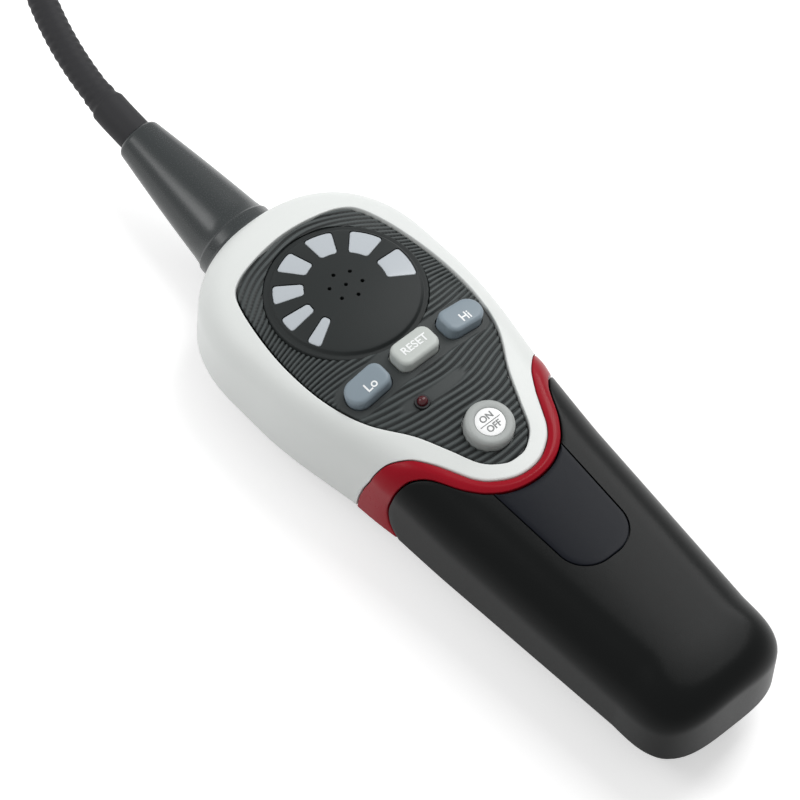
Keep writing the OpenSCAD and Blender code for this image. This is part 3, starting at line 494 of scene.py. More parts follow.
def plateLoop(belowBand):
    half, r = plate["width"] / 2, plate["corner"]
    # the upper edge follows the band
    upper = [Vector((p[0], p[1] - belowBand)) for p in smoothCurve(band["back"], 10)
             if p[0] < half - plate["besideTop"]]
    corner = arc(half - plate["narrow"] - r, r - plate["end"], r, 0, -90, 12)
    edge = resample(upper, 14) + resample([upper[-1], corner[0]], 14)[1:] + corner[1:]
    edge += resample([corner[-1], Vector((0, -plate["end"]))], 6)[1:]
    # anticlockwise: up the right-hand side, over the top and down the left
    return edge[::-1] + mirrored(edge)[1:-1]


def buildPlate(grip):
    pocket = inset(plateLoop(-plate["underBand"]), -plate["groove"])    # open to the band
    cutWith(grip, [prism(pocket, *plate["cut"])], angle=45)
    return addPlate("handlePlate", plateLoop(plate["belowBand"]), onPlan, plate["lip"], plate["base"], 10)


# floor of the pocket behind the plate
def buildPlateSeat():
    loop = inset(plateLoop(plate["belowBand"] + plate["seatBelow"]), -plate["groove"] - plate["seatMore"])

    def fold(p, depth):
        return onPlan(p, depth + plate["base"] + plate["seatGap"])

    return addPlate("plateSeat", loop, fold, plate["seatLip"], plate["seatBase"])


keys = {"rowY": -23.7, "pitch": 14.6, "width": 11.6, "length": 7.0, "corner": 2.4, "rise": 2.4, "gap": 0.3,
        "roundMore": 1.1, "lip": 1.0, "crown": 0.22, "crownHalf": (6.2, 3.7), "rings": 6,
        "bottom": -3.52, "flangeT": 1.0, "flange": 0.8, "powerY": -49.5, "powerD": 12, "powerEdge": 1.1,
        "inlayD": 7.4, "inlayT": 0.6, "inlayGap": 0.06, "inlayLip": 0.12,
        "inlayEdge": [(0.25, 0), (0.08, 0.05), (0, 0.15)]}
disc = {"diameter": 38.8, "domeR": 65, "rise": 1.2, "rim": 2.6, "thickness": 1.6, "domeSteps": 14,
        "stepR": 17.4, "stepDrop": 0.9, "stepTop": [(0.15, 0.08), (0.3, 0.24)],
        "stepFoot": [(0.62, 0.16), (0.78, 0.04), (1.0, 0)],
        "rimDrop": 0.06, "rimLip": 0.5, "rimFoot": (1.6, 1.8), "underside": (16.4, 12, 6, 0),
        "holes": 6, "holeD": 1.0, "holeRing": 4.0, "holeTurn": 35, "cut": (-8, 3)}
windows = {"inner": 9.9, "outer": 17.2, "first": 12, "growth": 3.0, "gap": 14.6, "start": 208.3,
           "corner": 1.0, "count": 7, "sink": 0.12, "depth": 1.8, "clear": 0.12, "lip": 0.25}


# frames that stand on the front: for the keys, the lamp and the disc
def frontFrame(x, y):
    turn = Matrix.Rotation(atan(crestSlope(y)), 4, "X")
    return Matrix.Translation((x, y, frontZ(x, y))) @ turn \
        @ Matrix.Rotation(asin(x / housing["crownR"]), 4, "Y")


def rowKeyFrame(i):
    return frontFrame(i * keys["pitch"], keys["rowY"])


def powerFrame():
    return frontFrame(0, keys["powerY"])


def discFrame():
    turn = Matrix.Rotation(-radians(housing["discTilt"]), 4, "X")
    return Matrix.Translation((0, 0, crest(0) + disc["rise"])) @ turn


def rowKeyLoop(i, grow=0.0):
    return roundedLoop(keys["width"] / 2, keys["length"] / 2, keys["corner"], grow, 10,
                       rounder=i, more=keys["roundMore"])


def domeZ(r):
    return sqrt(disc["domeR"]**2 - r**2) - disc["domeR"]


# ribs of the panel: arcs that bow to the nose round the disc and to the handle below the keys
ribs = {
    "pitch": 1.65, "depth": 0.5, "noseArc": 33, "gripArc": 46, "turnFrom": -30, "turnOver": 42,
    "sway": 0.16, "swayX": 0.3, "swayY": 0.17,
    "stripHalf": (22.2, 5.0), "stripRound": 4.0, "stripFade": 0.35,    # smooth strip round the key row
    "fieldSpot": (-3.4, -35), "fieldHalf": (6, 1.25), "fieldFade": 0.9,   # smooth field beside the lamp
}


def ribDepthAt(x, y):
    share = clamp((y - ribs["turnFrom"]) / ribs["turnOver"])
    share = share * share * (3 - 2 * share)
    bow = lerp(-1 / ribs["gripArc"], 1 / ribs["noseArc"], share)
    sway = ribs["sway"] * sin(ribs["swayX"] * x + ribs["swayY"] * y)
    phase = (y + bow * x * x / 2) / ribs["pitch"] + sway
    groove = (0.5 - 0.5 * cos(2 * pi * phase))**2
    halfX, halfY = ribs["stripHalf"]
    dx = max(abs(x) - halfX + ribs["stripRound"], 0)
    dy = max(abs(y - keys["rowY"]) - halfY + ribs["stripRound"], 0)
    strip = hypot(dx, dy) - ribs["stripRound"]
    fx, fy = ribs["fieldSpot"]
    halfX, halfY = ribs["fieldHalf"]
    field = hypot(max(abs(x - fx) - halfX, 0) / 2, y - fy - x * x / (2 * ribs["gripArc"])) - halfY
    on = min(clamp(strip / ribs["stripFade"]), clamp(field / ribs["fieldFade"]))
    return ribs["depth"] * lerp(0.5, groove, on)


def panelHalf(y):
    best = 0.0
    for a, b in zip(panelEdge, panelEdge[1:]):
        if b[1] <= y <= a[1] and a[1] > b[1]:
            best = max(best, lerp(a[0], b[0], (a[1] - y) / (a[1] - b[1])))
    return best


def buildPanel():
    rows, cols = int((panel["nose"] + panel["tail"]) / panel["rowStep"]), panel["columns"]
    lips = lipProfile(panel["lip"], 3)[:-1]
    top, under = [], []
    for k in range(rows + 1):
        y = lerp(panel["nose"] - panel["gap"], panel["gap"] - panel["tail"], k / rows)
        half = max(panelHalf(y) - panel["gap"], panel["leastHalf"])
        flat = max(half - panel["lip"], panel["leastFlat"])
        side = [(half - min(s, half * panel["lipShare"]), d) for s, d in lips]
        middle = [(flat * (2 * c / cols - 1), 0) for c in range(cols + 1)]
        line = [(-x, d) for x, d in side] + middle + side[::-1]
        end = panel["lip"] * max(0.0, 1 - min(k, rows - k) / panel["endRows"])**2
        top.append([onPlan((x, y), panel["sink"] + (d + end) + ribDepthAt(x, y)) for x, d in line])
        under.append([onPlan((x, y), panel["base"]) for x, d in line])
    obj = addSheet("keypadPanel", top, under, 60)
    holes = [(circleLoop(disc["diameter"] / 2 + panel["discGap"], 96), discFrame())]
    holes += [(rowKeyLoop(i, keys["gap"]), rowKeyFrame(i)) for i in (-1, 0, 1)]
    holes += [(circleLoop(keys["powerD"] / 2 + keys["gap"], 64), powerFrame()),
              (circleLoop(panel["lampHole"], 40), frontFrame(*panel["lampSpot"]))]
    cutWith(obj, [prism(loop, -panel["cut"], panel["cut"], place) for loop, place in holes], angle=60)
    # how deep each point lies in the ribs, read by the panel's finish for its painted groove shade and crest
    # light
    groove = obj.data.attributes.new("groove", "FLOAT", "POINT")
    for i, v in enumerate(obj.data.vertices):
        groove.data[i].value = ribDepthAt(v.co[0] / mm, v.co[1] / mm) / ribs["depth"]
    return obj


# a window: two round edges and two straight sides, with small bends between them
def windowLoop(i, grow=0.0):
    high = windows["start"] - (i - 1) * (windows["first"] + windows["gap"]) \
        - windows["growth"] * (i - 1) * (i - 2) / 2
    low = high - windows["first"] - windows["growth"] * (i - 1)
    r1, r2, c = windows["inner"] - grow, windows["outer"] + grow, windows["corner"]

    def run(r, steps):
        margin = degrees((c - grow) / r)
        return arc(0, 0, r, low + margin, high - margin, steps)

    def sidePoint(r, angle, way):
        t = radians(angle)
        return Vector((r * cos(t) - way * grow * sin(t), r * sin(t) + way * grow * cos(t)))

    def bend(a, corner, b, steps=5):
        return [a.lerp(corner, t).lerp(corner.lerp(b, t), t) for t in [k / steps for k in range(1, steps)]]

    outer, inner = run(r2, 16), run(r1, 10)[::-1]
    highOut, highIn = sidePoint(r2 - c, high, 1), sidePoint(r1 + c, high, 1)
    lowOut, lowIn = sidePoint(r2 - c, low, -1), sidePoint(r1 + c, low, -1)
    loop = outer + bend(outer[-1], sidePoint(r2, high, 1), highOut) + [highOut, highIn]
    loop += bend(highIn, sidePoint(r1, high, 1), inner[0]) + inner
    loop += bend(inner[-1], sidePoint(r1, low, -1), lowIn) + [lowIn, lowOut]
    return loop + bend(lowOut, sidePoint(r2, low, -1), outer[0])


# the disc: a dome with a stepped rim, cut for the windows and the sound holes
def buildDisc():
    edge, stepR, steps = disc["diameter"] / 2, disc["stepR"], disc["domeSteps"]
    profile = [(r, domeZ(r)) for r in [stepR * sqrt(k / steps) for k in range(steps + 1)]]
    foot = domeZ(stepR) - disc["stepDrop"]
    profile += [(stepR + s, domeZ(stepR) - d) for s, d in disc["stepTop"]]
    profile += [(stepR + s, foot + d) for s, d in disc["stepFoot"]]
    profile += [(edge - s, foot - disc["rimDrop"] - d) for s, d in reversed(lipProfile(disc["rimLip"]))]
    bottom, (low, high) = domeZ(edge) - disc["rim"], disc["rimFoot"]
    profile += [(edge, bottom), (edge - low, bottom),
                (edge - high, domeZ(edge) - disc["thickness"] - disc["stepDrop"])]
    profile += [(r, domeZ(r) - disc["thickness"]) for r in disc["underside"]]
    obj = addTurned("indicatorDisc", profile, discFrame(), 128, 50)
    loops = [windowLoop(i, windows["clear"]) for i in range(1, windows["count"] + 1)]
    around, turn = disc["holes"], disc["holeTurn"]
    spots = arc(0, 0, disc["holeRing"], turn, turn + 360, around)[:-1] + [Vector((0, 0))]
    loops += [circleLoop(disc["holeD"] / 2, 20, p[0], p[1]) for p in spots]
    return cutWith(obj, [prism(loop, *disc["cut"], discFrame()) for loop in loops], angle=50)


def buildWindow(i):
    place = discFrame()

    def fold(p, depth):
        return place @ Vector((p[0], p[1], domeZ(p.length) - windows["sink"] - depth))

    return addPlate(f"signalWindow{i}", windowLoop(i), fold, windows["lip"], windows["depth"], 4)


def keyTop(x, y):
    halfX, halfY = keys["crownHalf"]
    return keys["rise"] - keys["crown"] * ((x / halfX)**2 + (y / halfY)**2) / 2


def buildRowKey(name, i):
    place, loop, count = rowKeyFrame(i), rowKeyLoop(i), keys["rings"]
    wide = [Vector((p[0] + copysign(keys["flange"], p[0]), p[1])) for p in loop]
    edge = inset(loop, keys["lip"])

    def level(points, z):
        return [place @ Vector((p[0], p[1], z)) for p in points]

    def crowned(points, depth=0.0):
        return [place @ Vector((p[0], p[1], keyTop(p[0], p[1]) - depth)) for p in points]

    shoulder = keys["bottom"] + keys["flangeT"]
    rings = [level(wide, keys["bottom"]), level(wide, shoulder), level(loop, shoulder)]
    rings += [crowned(inset(loop, s), d) for s, d in lipProfile(keys["lip"], count)]
    rings += [crowned([p * (1 - k / count) for p in edge]) for k in range(1, count)]
    middle = [place @ Vector((0, 0, z)) for z in (keys["rise"], keys["bottom"])]
    return addCapped(name, rings, *middle, 45)


def buildPowerKey():
    r, rise, bottom = keys["powerD"] / 2, keys["rise"], keys["bottom"]
    shoulder, inlay, wide = bottom + keys["flangeT"], keys["inlayD"] / 2, r + keys["flange"]
    profile = [(0, bottom), (wide, bottom), (wide, shoulder), (r, shoulder)]
    profile += [(r - s, rise - d) for s, d in lipProfile(keys["powerEdge"], 6)]
    profile += [(inlay + s, rise - d) for s, d in keys["inlayEdge"]]
    profile += [(inlay, rise - keys["inlayT"]), (0, rise - keys["inlayT"])]
    return addTurned("powerKey", profile, powerFrame())


def buildInlay():
    r, rise = keys["inlayD"] / 2 - keys["inlayGap"], keys["rise"]
    profile = [(0, rise - keys["inlayT"]), (r, rise - keys["inlayT"])]
    profile += [(r - s, rise - d) for s, d in lipProfile(keys["inlayLip"], 3)] + [(r / 2, rise), (0, rise)]
    return addTurned("powerInlay", profile, powerFrame(), 64)


# raised print on the keys, laid on the crown of the key
legend = {"extrude": 0.03, "bolder": 0.05, "lift": 0.015, "powerSize": 2.3,
          "barHalf": (3.0, 0.11), "barTop": 0.04, "barLip": 0.02, "barBase": 0.06}


def buildLegend(name, words, size, place, shift, crowned=True):
    curve = bpy.data.curves.new(name, "FONT")
    curve.body, curve.size, curve.align_x, curve.align_y = words, size, "CENTER", "CENTER"
    curve.extrude, curve.offset = legend["extrude"], legend["bolder"]
    text = addObject(name + "Text", curve)
    deps = bpy.context.evaluated_depsgraph_get()
    mesh = bpy.data.meshes.new_from_object(text.evaluated_get(deps))
    bpy.data.objects.remove(text)
    for v in mesh.vertices:
        x, y = v.co[0] + shift[0], v.co[1] + shift[1]
        top = keyTop(x, y) if crowned else keys["rise"]
        v.co = (place @ Vector((x, y, top + v.co[2] + legend["lift"]))) * mm
    return addObject(name, mesh)


# the line between the two words on the power key
def buildLegendBar():
    place, loop = powerFrame(), boxLoop(*legend["barHalf"])

    def fold(p, depth):
        return place @ Vector((p[0], p[1], keys["rise"] + legend["barTop"] - depth))

    edge = resample(loop + loop[:1], 40)[:-1]
    return addPlate("legendBar", edge, fold, legend["barLip"], legend["barBase"], 2)


# lines of the nose: outwards from the rim or the cone's foot, and height
nose = {"h": 13.0, "tilt": 4.5, "length": 40.3, "baseD": 20.5, "tipD": 11.7, "step": 0.9, "spigotD": 15,
        "flange": 1.6, "flangeT": 2, "groove": 4, "bore": 7.5, "tipEdge": 1.4, "gap": 0.1, "swell": 0.18,
        "rimLine": [(-0.3, 0), (0, 0.35), (0, 1.5), (-0.12, 1.85), (-0.3, 2.1)],
        "footLine": [(0.5, 2.4), (0.42, 4.7), (0.34, 4.95), (0.1, 5.15), (-0.08, 5.5)],
        "coneFrom": 3.3, "coneSteps": 16, "mouth": (0.25, 0.3)}
neck = {"d": 7.3, "length": 365, "bendR": 104, "straight": 5, "ribPitch": 2.3, "ribHeight": 0.24,
        "ringStep": 0.383, "sides": 24, "inside": 54.3, "endZ": 5}
sleeve = {"d": 8.9, "from": 0.1, "length": 15, "lip": 3.6, "lipT": 0.22, "blend": 1.6, "clear": 0.03,
          "steps": 60, "sides": 40}
noseTilt = radians(nose["tilt"])
noseY = housing["headNose"] + nose["gap"]
tipY = noseY + nose["length"] * cos(noseTilt)
tipZ = nose["h"] + nose["length"] * sin(noseTilt)


def noseFrame():
    return Matrix.Translation((0, noseY, nose["h"])) @ Matrix.Rotation(noseTilt - pi / 2, 4, "X")


def buildNose():
    base, tip, length, bore = nose["baseD"] / 2, nose["tipD"] / 2, nose["length"], nose["bore"] / 2
    spigot, groove = nose["spigotD"] / 2, nose["groove"]
    wide, inner = spigot + nose["flange"], groove + nose["flangeT"]
    profile = [(bore, -inner), (wide, -inner), (wide, -groove), (spigot, -groove), (spigot, 0)]
    profile += [(base + nose["step"] + s, z) for s, z in nose["rimLine"]]
    profile += [(base + s, z) for s, z in nose["footLine"]]
    # a faint swell keeps the cone from looking ruled
    for k in range(2, nose["coneSteps"]):
        share = k / nose["coneSteps"]
        r = lerp(base, tip, share) + nose["swell"] * sin(pi * share)
        profile.append((r, lerp(nose["coneFrom"], length - nose["tipEdge"], share)))
    profile += [(tip - s, length - d) for s, d in lipProfile(nose["tipEdge"], 6)]
    profile += [(bore + nose["mouth"][0], length), (bore, length - nose["mouth"][1])]
    return addTurned("noseCone", profile, noseFrame(), 96, 35)


# room in the housing for the rim of the nose and its spigot
def noseRoom():
    gap, inside, outside = nose["gap"], -20, 40
    rim, spigot = nose["baseD"] / 2 + nose["step"] + gap, nose["spigotD"] / 2 + gap
    profile = [(0, inside), (spigot, inside), (spigot, -gap), (rim, -gap), (rim, outside), (0, outside)]
    return addTurned("cutter", profile, noseFrame(), 72)


def neckPoint(s):
    a = max(0.0, s - neck["straight"]) / neck["bendR"]
    if s < 0:
        return Vector((0, tipY + s * cos(noseTilt), tipZ + s * sin(noseTilt)))
    y = tipY + min(s, neck["straight"]) * cos(noseTilt) + neck["bendR"] * sin(a)
    z = hermite(tipZ, neck["endZ"], neck["length"] * tan(noseTilt), 0, s / neck["length"])
    return Vector((neck["bendR"] * (1 - cos(a)), y, z))


def neckRing(s, radius, sides):
    aim = (neckPoint(s + 0.1) - neckPoint(s - 0.1)).normalized()
    side = aim.cross(Vector((0, 0, 1))).normalized()
    up = side.cross(aim)
    turns = [2 * pi * k / sides for k in range(sides)]
    return [neckPoint(s) + radius(s, t) * (cos(t) * side + sin(t) * up) for t in turns]


# the flexible neck: a wound tube under a close-fitting skin
def neckRadius(s, t):
    wave = 0.5 + 0.5 * cos(2 * pi * s / neck["ribPitch"] - t)
    return neck["d"] / 2 - (neck["ribHeight"] * (1 - wave**0.5) if s > 0 else 0)


def buildNeck():
    count = int(neck["length"] / neck["ringStep"])
    stops = [-neck["inside"], -1.0] + [neck["length"] * k / count for k in range(count + 1)]
    return joinRings("flexibleNeck", [neckRing(s, neckRadius, neck["sides"]) for s in stops])


# past its body the sleeve is a thin lip drawn tight over the ribs
def buildSleeve():
    def outer(s, t):
        end = clamp((s - sleeve["length"] + sleeve["lip"]) / sleeve["blend"] + 0.5)
        return hermite(sleeve["d"] / 2, neckRadius(s, t) + sleeve["lipT"], 0, 0, end)

    def inner(s, t):
        return neckRadius(s, t) + sleeve["clear"]

    stops = [lerp(sleeve["from"], sleeve["length"], k / sleeve["steps"]) for k in range(sleeve["steps"] + 1)]
    rings = [neckRing(s, outer, sleeve["sides"]) for s in stops]
    rings += [neckRing(s, inner, sleeve["sides"]) for s in stops[::-1]]
    return joinRings("neckSleeve", rings, closed=True)


# the back: a flat tray with a rounded edge, cut for the battery door, the screws and the nose
rear = {"fan": 26, "sideSteps": 64, "edgeSteps": 12, "floorSteps": 4, "seamGap": 0.12,
        "doorWidth": 30.1, "doorCorner": 3, "doorGap": 0.16, "doorTail": -120.7, "doorHead": -65.2,
        "screws": [(21.6, 11.7), (18.5, -61.2)], "screwHole": 2.3, "screwSeat": 5.9, "doorScrewY": -68.7,
        "boss": 2.9, "bossIn": 0.25, "below": -5, "above": 20}
screw = {"headR": 2.2, "headH": 2.0, "headEdge": 1.3, "shankR": 1.1, "reach": 8.0, "tip": (0.4, 0.5),
         "crossL": 1.35, "crossW": 0.32, "crossDepth": 0.9, "crossFloor": 0.2, "play": 0.05, "gap": 0.1,
         "doorFace": 0.05, "doorHeadH": 0.95, "doorEdge": 0.4, "doorTop": 3.4}
screwSpots = [(side * x, y) for x, y in rear["screws"] for side in (-1, 1)]


def rearSpokes():
    turns = [pi / 2 * k / rear["fan"] for k in range(rear["fan"] + 1)]
    head, steps = housing["headSpine"], rear["sideSteps"]
    right = [(max(cos(t), hair), tailSpine - max(sin(t), hair)) for t in turns[::-1]]
    right += [(1, lerp(tailSpine, head, k / steps)) for k in range(1, steps)]
    right += [(max(cos(t), hair), head + max(sin(t), hair)) for t in turns]
    return right + [(-x, y) for x, y in right[::-1]]


def rearProfile(reach, edge, depth, top):
    reach, edge, seam = reach - housing["seamStep"] - depth, edge - depth, housing["seamH"]
    line = [(lerp(0, reach - edge, k / rear["floorSteps"]), depth) for k in range(rear["floorSteps"])]
    for k in range(rear["edgeSteps"], 0, -1):
        a = pi / 2 * k / rear["edgeSteps"]
        line.append((reach - edge * (1 - cos(a)), seam - (seam - depth) * sin(a)))
    return line + [(reach, top)]


# an open tray, or with a depth the full form that lies that deep inside it
def addTray(name, depth=None):
    rings, top = [], housing["seamH"] - rear["seamGap"]
    for across, along in rearSpokes():
        spine, a, reach = spokeAt(across, along)[:3]
        edge = lerp(housing["backEdge"], housing["gripBackEdge"], gripShare(spine))
        if depth is None:
            line = rearProfile(reach, edge, 0, top) + rearProfile(reach, edge, housing["wall"], top)[::-1]
        else:
            line = rearProfile(reach, edge, depth, top - depth) + [(0, top - depth)]
        rings.append([Vector((*outAlong(across, spine, a, r), z)) for r, z in line])
    faces = ringFaces(len(rings), len(rings[0]), closed=True, wrap=False)
    return addMesh(name, [p for ring in rings for p in ring], faces)


def doorLoop(grow):
    low, high = rear["doorTail"], rear["doorHead"]
    return roundedLoop(rear["doorWidth"] / 2, (high - low) / 2, rear["doorCorner"], grow, 8, (low + high) / 2)


def buildRearCase():
    obj = addTray("rearCase")
    below, above = rear["below"], rear["above"]
    hole, shank = rear["screwHole"], screw["shankR"] + screw["play"]
    for x, y in screwSpots:
        boss = addTray("boss", rear["bossIn"])
        cutWith(boss, [prism(circleLoop(rear["boss"], 40, x, y), below, above)], "INTERSECT")
        cutWith(obj, [boss], "UNION", 35)
    cutters = [prism(doorLoop(rear["doorGap"]), below, above)]
    cutters += [prism(circleLoop(hole, 40, x, y), below, rear["screwSeat"]) for x, y in screwSpots]
    cutters += [prism(circleLoop(shank, 24, x, y), below, above) for x, y in screwSpots]
    return cutWith(obj, cutters + [noseRoom()], angle=35)


def buildDoor():
    obj = addTray("batteryDoor")
    cutWith(obj, [prism(doorLoop(0), rear["below"], rear["above"])], "INTERSECT", 35)
    hole = circleLoop(rear["screwHole"], 40, 0, rear["doorScrewY"])
    return cutWith(obj, [prism(hole, rear["below"], rear["above"])], angle=35)


# a pan-head screw driven from behind: its head starts at face, its shank ends at top
def buildScrew(name, x, y, face, headH, edge, top):
    r, shank, (tipIn, tipH) = screw["headR"], screw["shankR"], screw["tip"]
    profile = [(0, face)] + [(r - s, face + d) for s, d in reversed(lipProfile(edge, 5))]
    profile += [(r, face + headH), (shank, face + headH), (shank, top - tipH), (shank - tipIn, top), (0, top)]
    obj = addTurned(name, profile, Matrix.Translation((x, y, 0)), 40)
    depth = min(screw["crossDepth"], headH - screw["crossFloor"])
    for half in ((screw["crossL"], screw["crossW"]), (screw["crossW"], screw["crossL"])):
        cutWith(obj, [prism(boxLoop(*half, x, y), face - 1, face + depth)])
    return obj


def joinMeshes(name, objs):
    points, faces = [], []
    for obj in objs:
        start = len(points)
        points += [v.co / mm for v in obj.data.vertices]
        faces += [tuple(start + i for i in f.vertices) for f in obj.data.polygons]
        bpy.data.objects.remove(obj)
    return addMesh(name, points, faces)


def buildCaseScrews():
    head, edge = screw["headH"], screw["headEdge"]
    face, top = rear["screwSeat"] - screw["gap"] - head, housing["seamH"] + screw["reach"] - screw["gap"]
    made = [buildScrew("caseScrew", x, y, face, head, edge, top) for x, y in screwSpots]
    return joinMeshes("caseScrews", made)


def buildDoorScrew():
    return buildScrew("doorScrew", 0, rear["doorScrewY"], screw["doorFace"], screw["doorHeadH"],
                      screw["doorEdge"], screw["doorTop"])


# a group that gives the colour, roughness and height of a skin
def newSkin(name, inputs):
    group = bpy.data.node_groups.new(name, "ShaderNodeTree")
    for label, kind, value in inputs:
        socket = group.interface.new_socket(label, in_out="INPUT", socket_type=kind)
        socket.default_value = value
    for label, kind in (("Color", "NodeSocketColor"), ("Roughness", "NodeSocketFloat"),
                        ("Height", "NodeSocketFloat")):
        group.interface.new_socket(label, in_out="OUTPUT", socket_type=kind)
    coords = group.nodes.new("ShaderNodeTexCoord").outputs["Object"]
    given, out = group.nodes.new("NodeGroupInput"), group.nodes.new("NodeGroupOutput")
    return group, coords, given.outputs, out.inputs


# a socket takes a number or the end of a link
def feed(tree, socket, value):
    if isinstance(value, (int, float)):
        socket.default_value = value
    else:
        tree.links.new(value, socket)


def addMath(tree, operation, *values):
    node = tree.nodes.new("ShaderNodeMath")
    node.operation = operation
    for socket, value in zip(node.inputs, values):
        feed(tree, socket, value)
    return node.outputs[0]


def addNoise(tree, vector, scale, detail, roughness=0.5):
    node = tree.nodes.new("ShaderNodeTexNoise")
    for label, value in (("Vector", vector), ("Scale", scale), ("Detail", detail), ("Roughness", roughness)):
        feed(tree, node.inputs[label], value)
    return node.outputs["Fac"]


def addShade(tree, tone, value):
    node = tree.nodes.new("ShaderNodeHueSaturation")
    tree.links.new(tone, node.inputs["Color"])
    tree.links.new(value, node.inputs["Value"])
    return node.outputs["Color"]


# moulded plastic: fine spark grain, slow tone drift and faint handling marks
mould = {"driftScale": 40.0, "grainScale": 3000.0, "grainRough": 0.12, "marks": 0.1,
         "markStretch": (420, 60, 200), "markPower": 4.0}


def makeMouldGrain():
    group, coords, given, out = newSkin("mouldGrain", [
        ("Tone", "NodeSocketColor", (0.5, 0.5, 0.5, 1)), ("Drift", "NodeSocketFloat", 0.06),
        ("Grain Scale", "NodeSocketFloat", mould["grainScale"]), ("Roughness", "NodeSocketFloat", 0.45),
        ("Marks", "NodeSocketFloat", mould["marks"])])
    slow = addNoise(group, coords, mould["driftScale"], 3)
    fine = addNoise(group, coords, given["Grain Scale"], 4, 0.6)
    stretch = group.nodes.new("ShaderNodeMapping")
    stretch.inputs["Scale"].default_value = mould["markStretch"]
    group.links.new(coords, stretch.inputs["Vector"])
    rubs = addNoise(group, stretch.outputs["Vector"], 1.0, 5, 0.65)
    rubs = addMath(group, "POWER", rubs, mould["markPower"])
    swing = addMath(group, "MULTIPLY", addMath(group, "SUBTRACT", slow, 0.5), given["Drift"])
    group.links.new(addShade(group, given["Tone"], addMath(group, "ADD", swing, 1.0)), out["Color"])
    rough = addMath(group, "MULTIPLY_ADD", fine, mould["grainRough"], -mould["grainRough"] / 2)
    rough = addMath(group, "ADD", rough, given["Roughness"])
    rough = addMath(group, "SUBTRACT", rough, addMath(group, "MULTIPLY", rubs, given["Marks"]))
    group.links.new(rough, out["Roughness"])
    group.links.new(fine, out["Height"])
    return group


# metal: drawn or turned lines and a little tarnish
metal = {"lineScale": 2500.0, "lineRough": 0.2, "stainScale": 160.0, "stain": 0.24, "bump": 0.01}


def makeTurnedMetal():
    group, coords, given, out = newSkin("turnedMetal", [
        ("Tone", "NodeSocketColor", (0.6, 0.6, 0.6, 1)), ("Roughness", "NodeSocketFloat", 0.3)])
    lines = addNoise(group, coords, metal["lineScale"], 2)
    stain = addNoise(group, coords, metal["stainScale"], 4)
    shade = addMath(group, "MULTIPLY_ADD", stain, metal["stain"], 1 - metal["stain"] / 2)
    group.links.new(addShade(group, given["Tone"], shade), out["Color"])
    spread = addMath(group, "MULTIPLY", addMath(group, "SUBTRACT", lines, 0.5), metal["lineRough"])
    group.links.new(addMath(group, "ADD", spread, given["Roughness"]), out["Roughness"])
    group.links.new(lines, out["Height"])
    return group


mouldGrain = makeMouldGrain()
turnedMetal = makeTurnedMetal()


def linear(rgb):
    values = [c / 255 for c in rgb]
    return tuple(c / 12.92 if c <= 0.04045 else ((c + 0.055) / 1.055)**2.4 for c in values) + (1.0,)


def newMaterial(name):
    mat = bpy.data.materials.new(name)
    mat.use_nodes = True
    return mat, mat.node_tree, mat.node_tree.nodes["Principled BSDF"]


def makeFinish(name, group, rgb, rough, bump, specular=0.5, drift=None, coat=0.0, metallic=0.0):
    mat, tree, shader = newMaterial(name)
    skin = tree.nodes.new("ShaderNodeGroup")
    skin.node_tree = group
    skin.inputs["Tone"].default_value = linear(rgb)
    skin.inputs["Roughness"].default_value = rough
    if drift is not None:
        skin.inputs["Drift"].default_value = drift
    tree.links.new(skin.outputs["Color"], shader.inputs["Base Color"])
    tree.links.new(skin.outputs["Roughness"], shader.inputs["Roughness"])
    relief = tree.nodes.new("ShaderNodeBump")
    relief.inputs["Strength"].default_value = 1.0
    relief.inputs["Distance"].default_value = bump * mm
    tree.links.new(skin.outputs["Height"], relief.inputs["Height"])
    tree.links.new(relief.outputs["Normal"], shader.inputs["Normal"])
    shader.inputs["Specular IOR Level"].default_value = specular
    shader.inputs["Metallic"].default_value = metallic
    shader.inputs["Coat Weight"].default_value = coat
    return mat


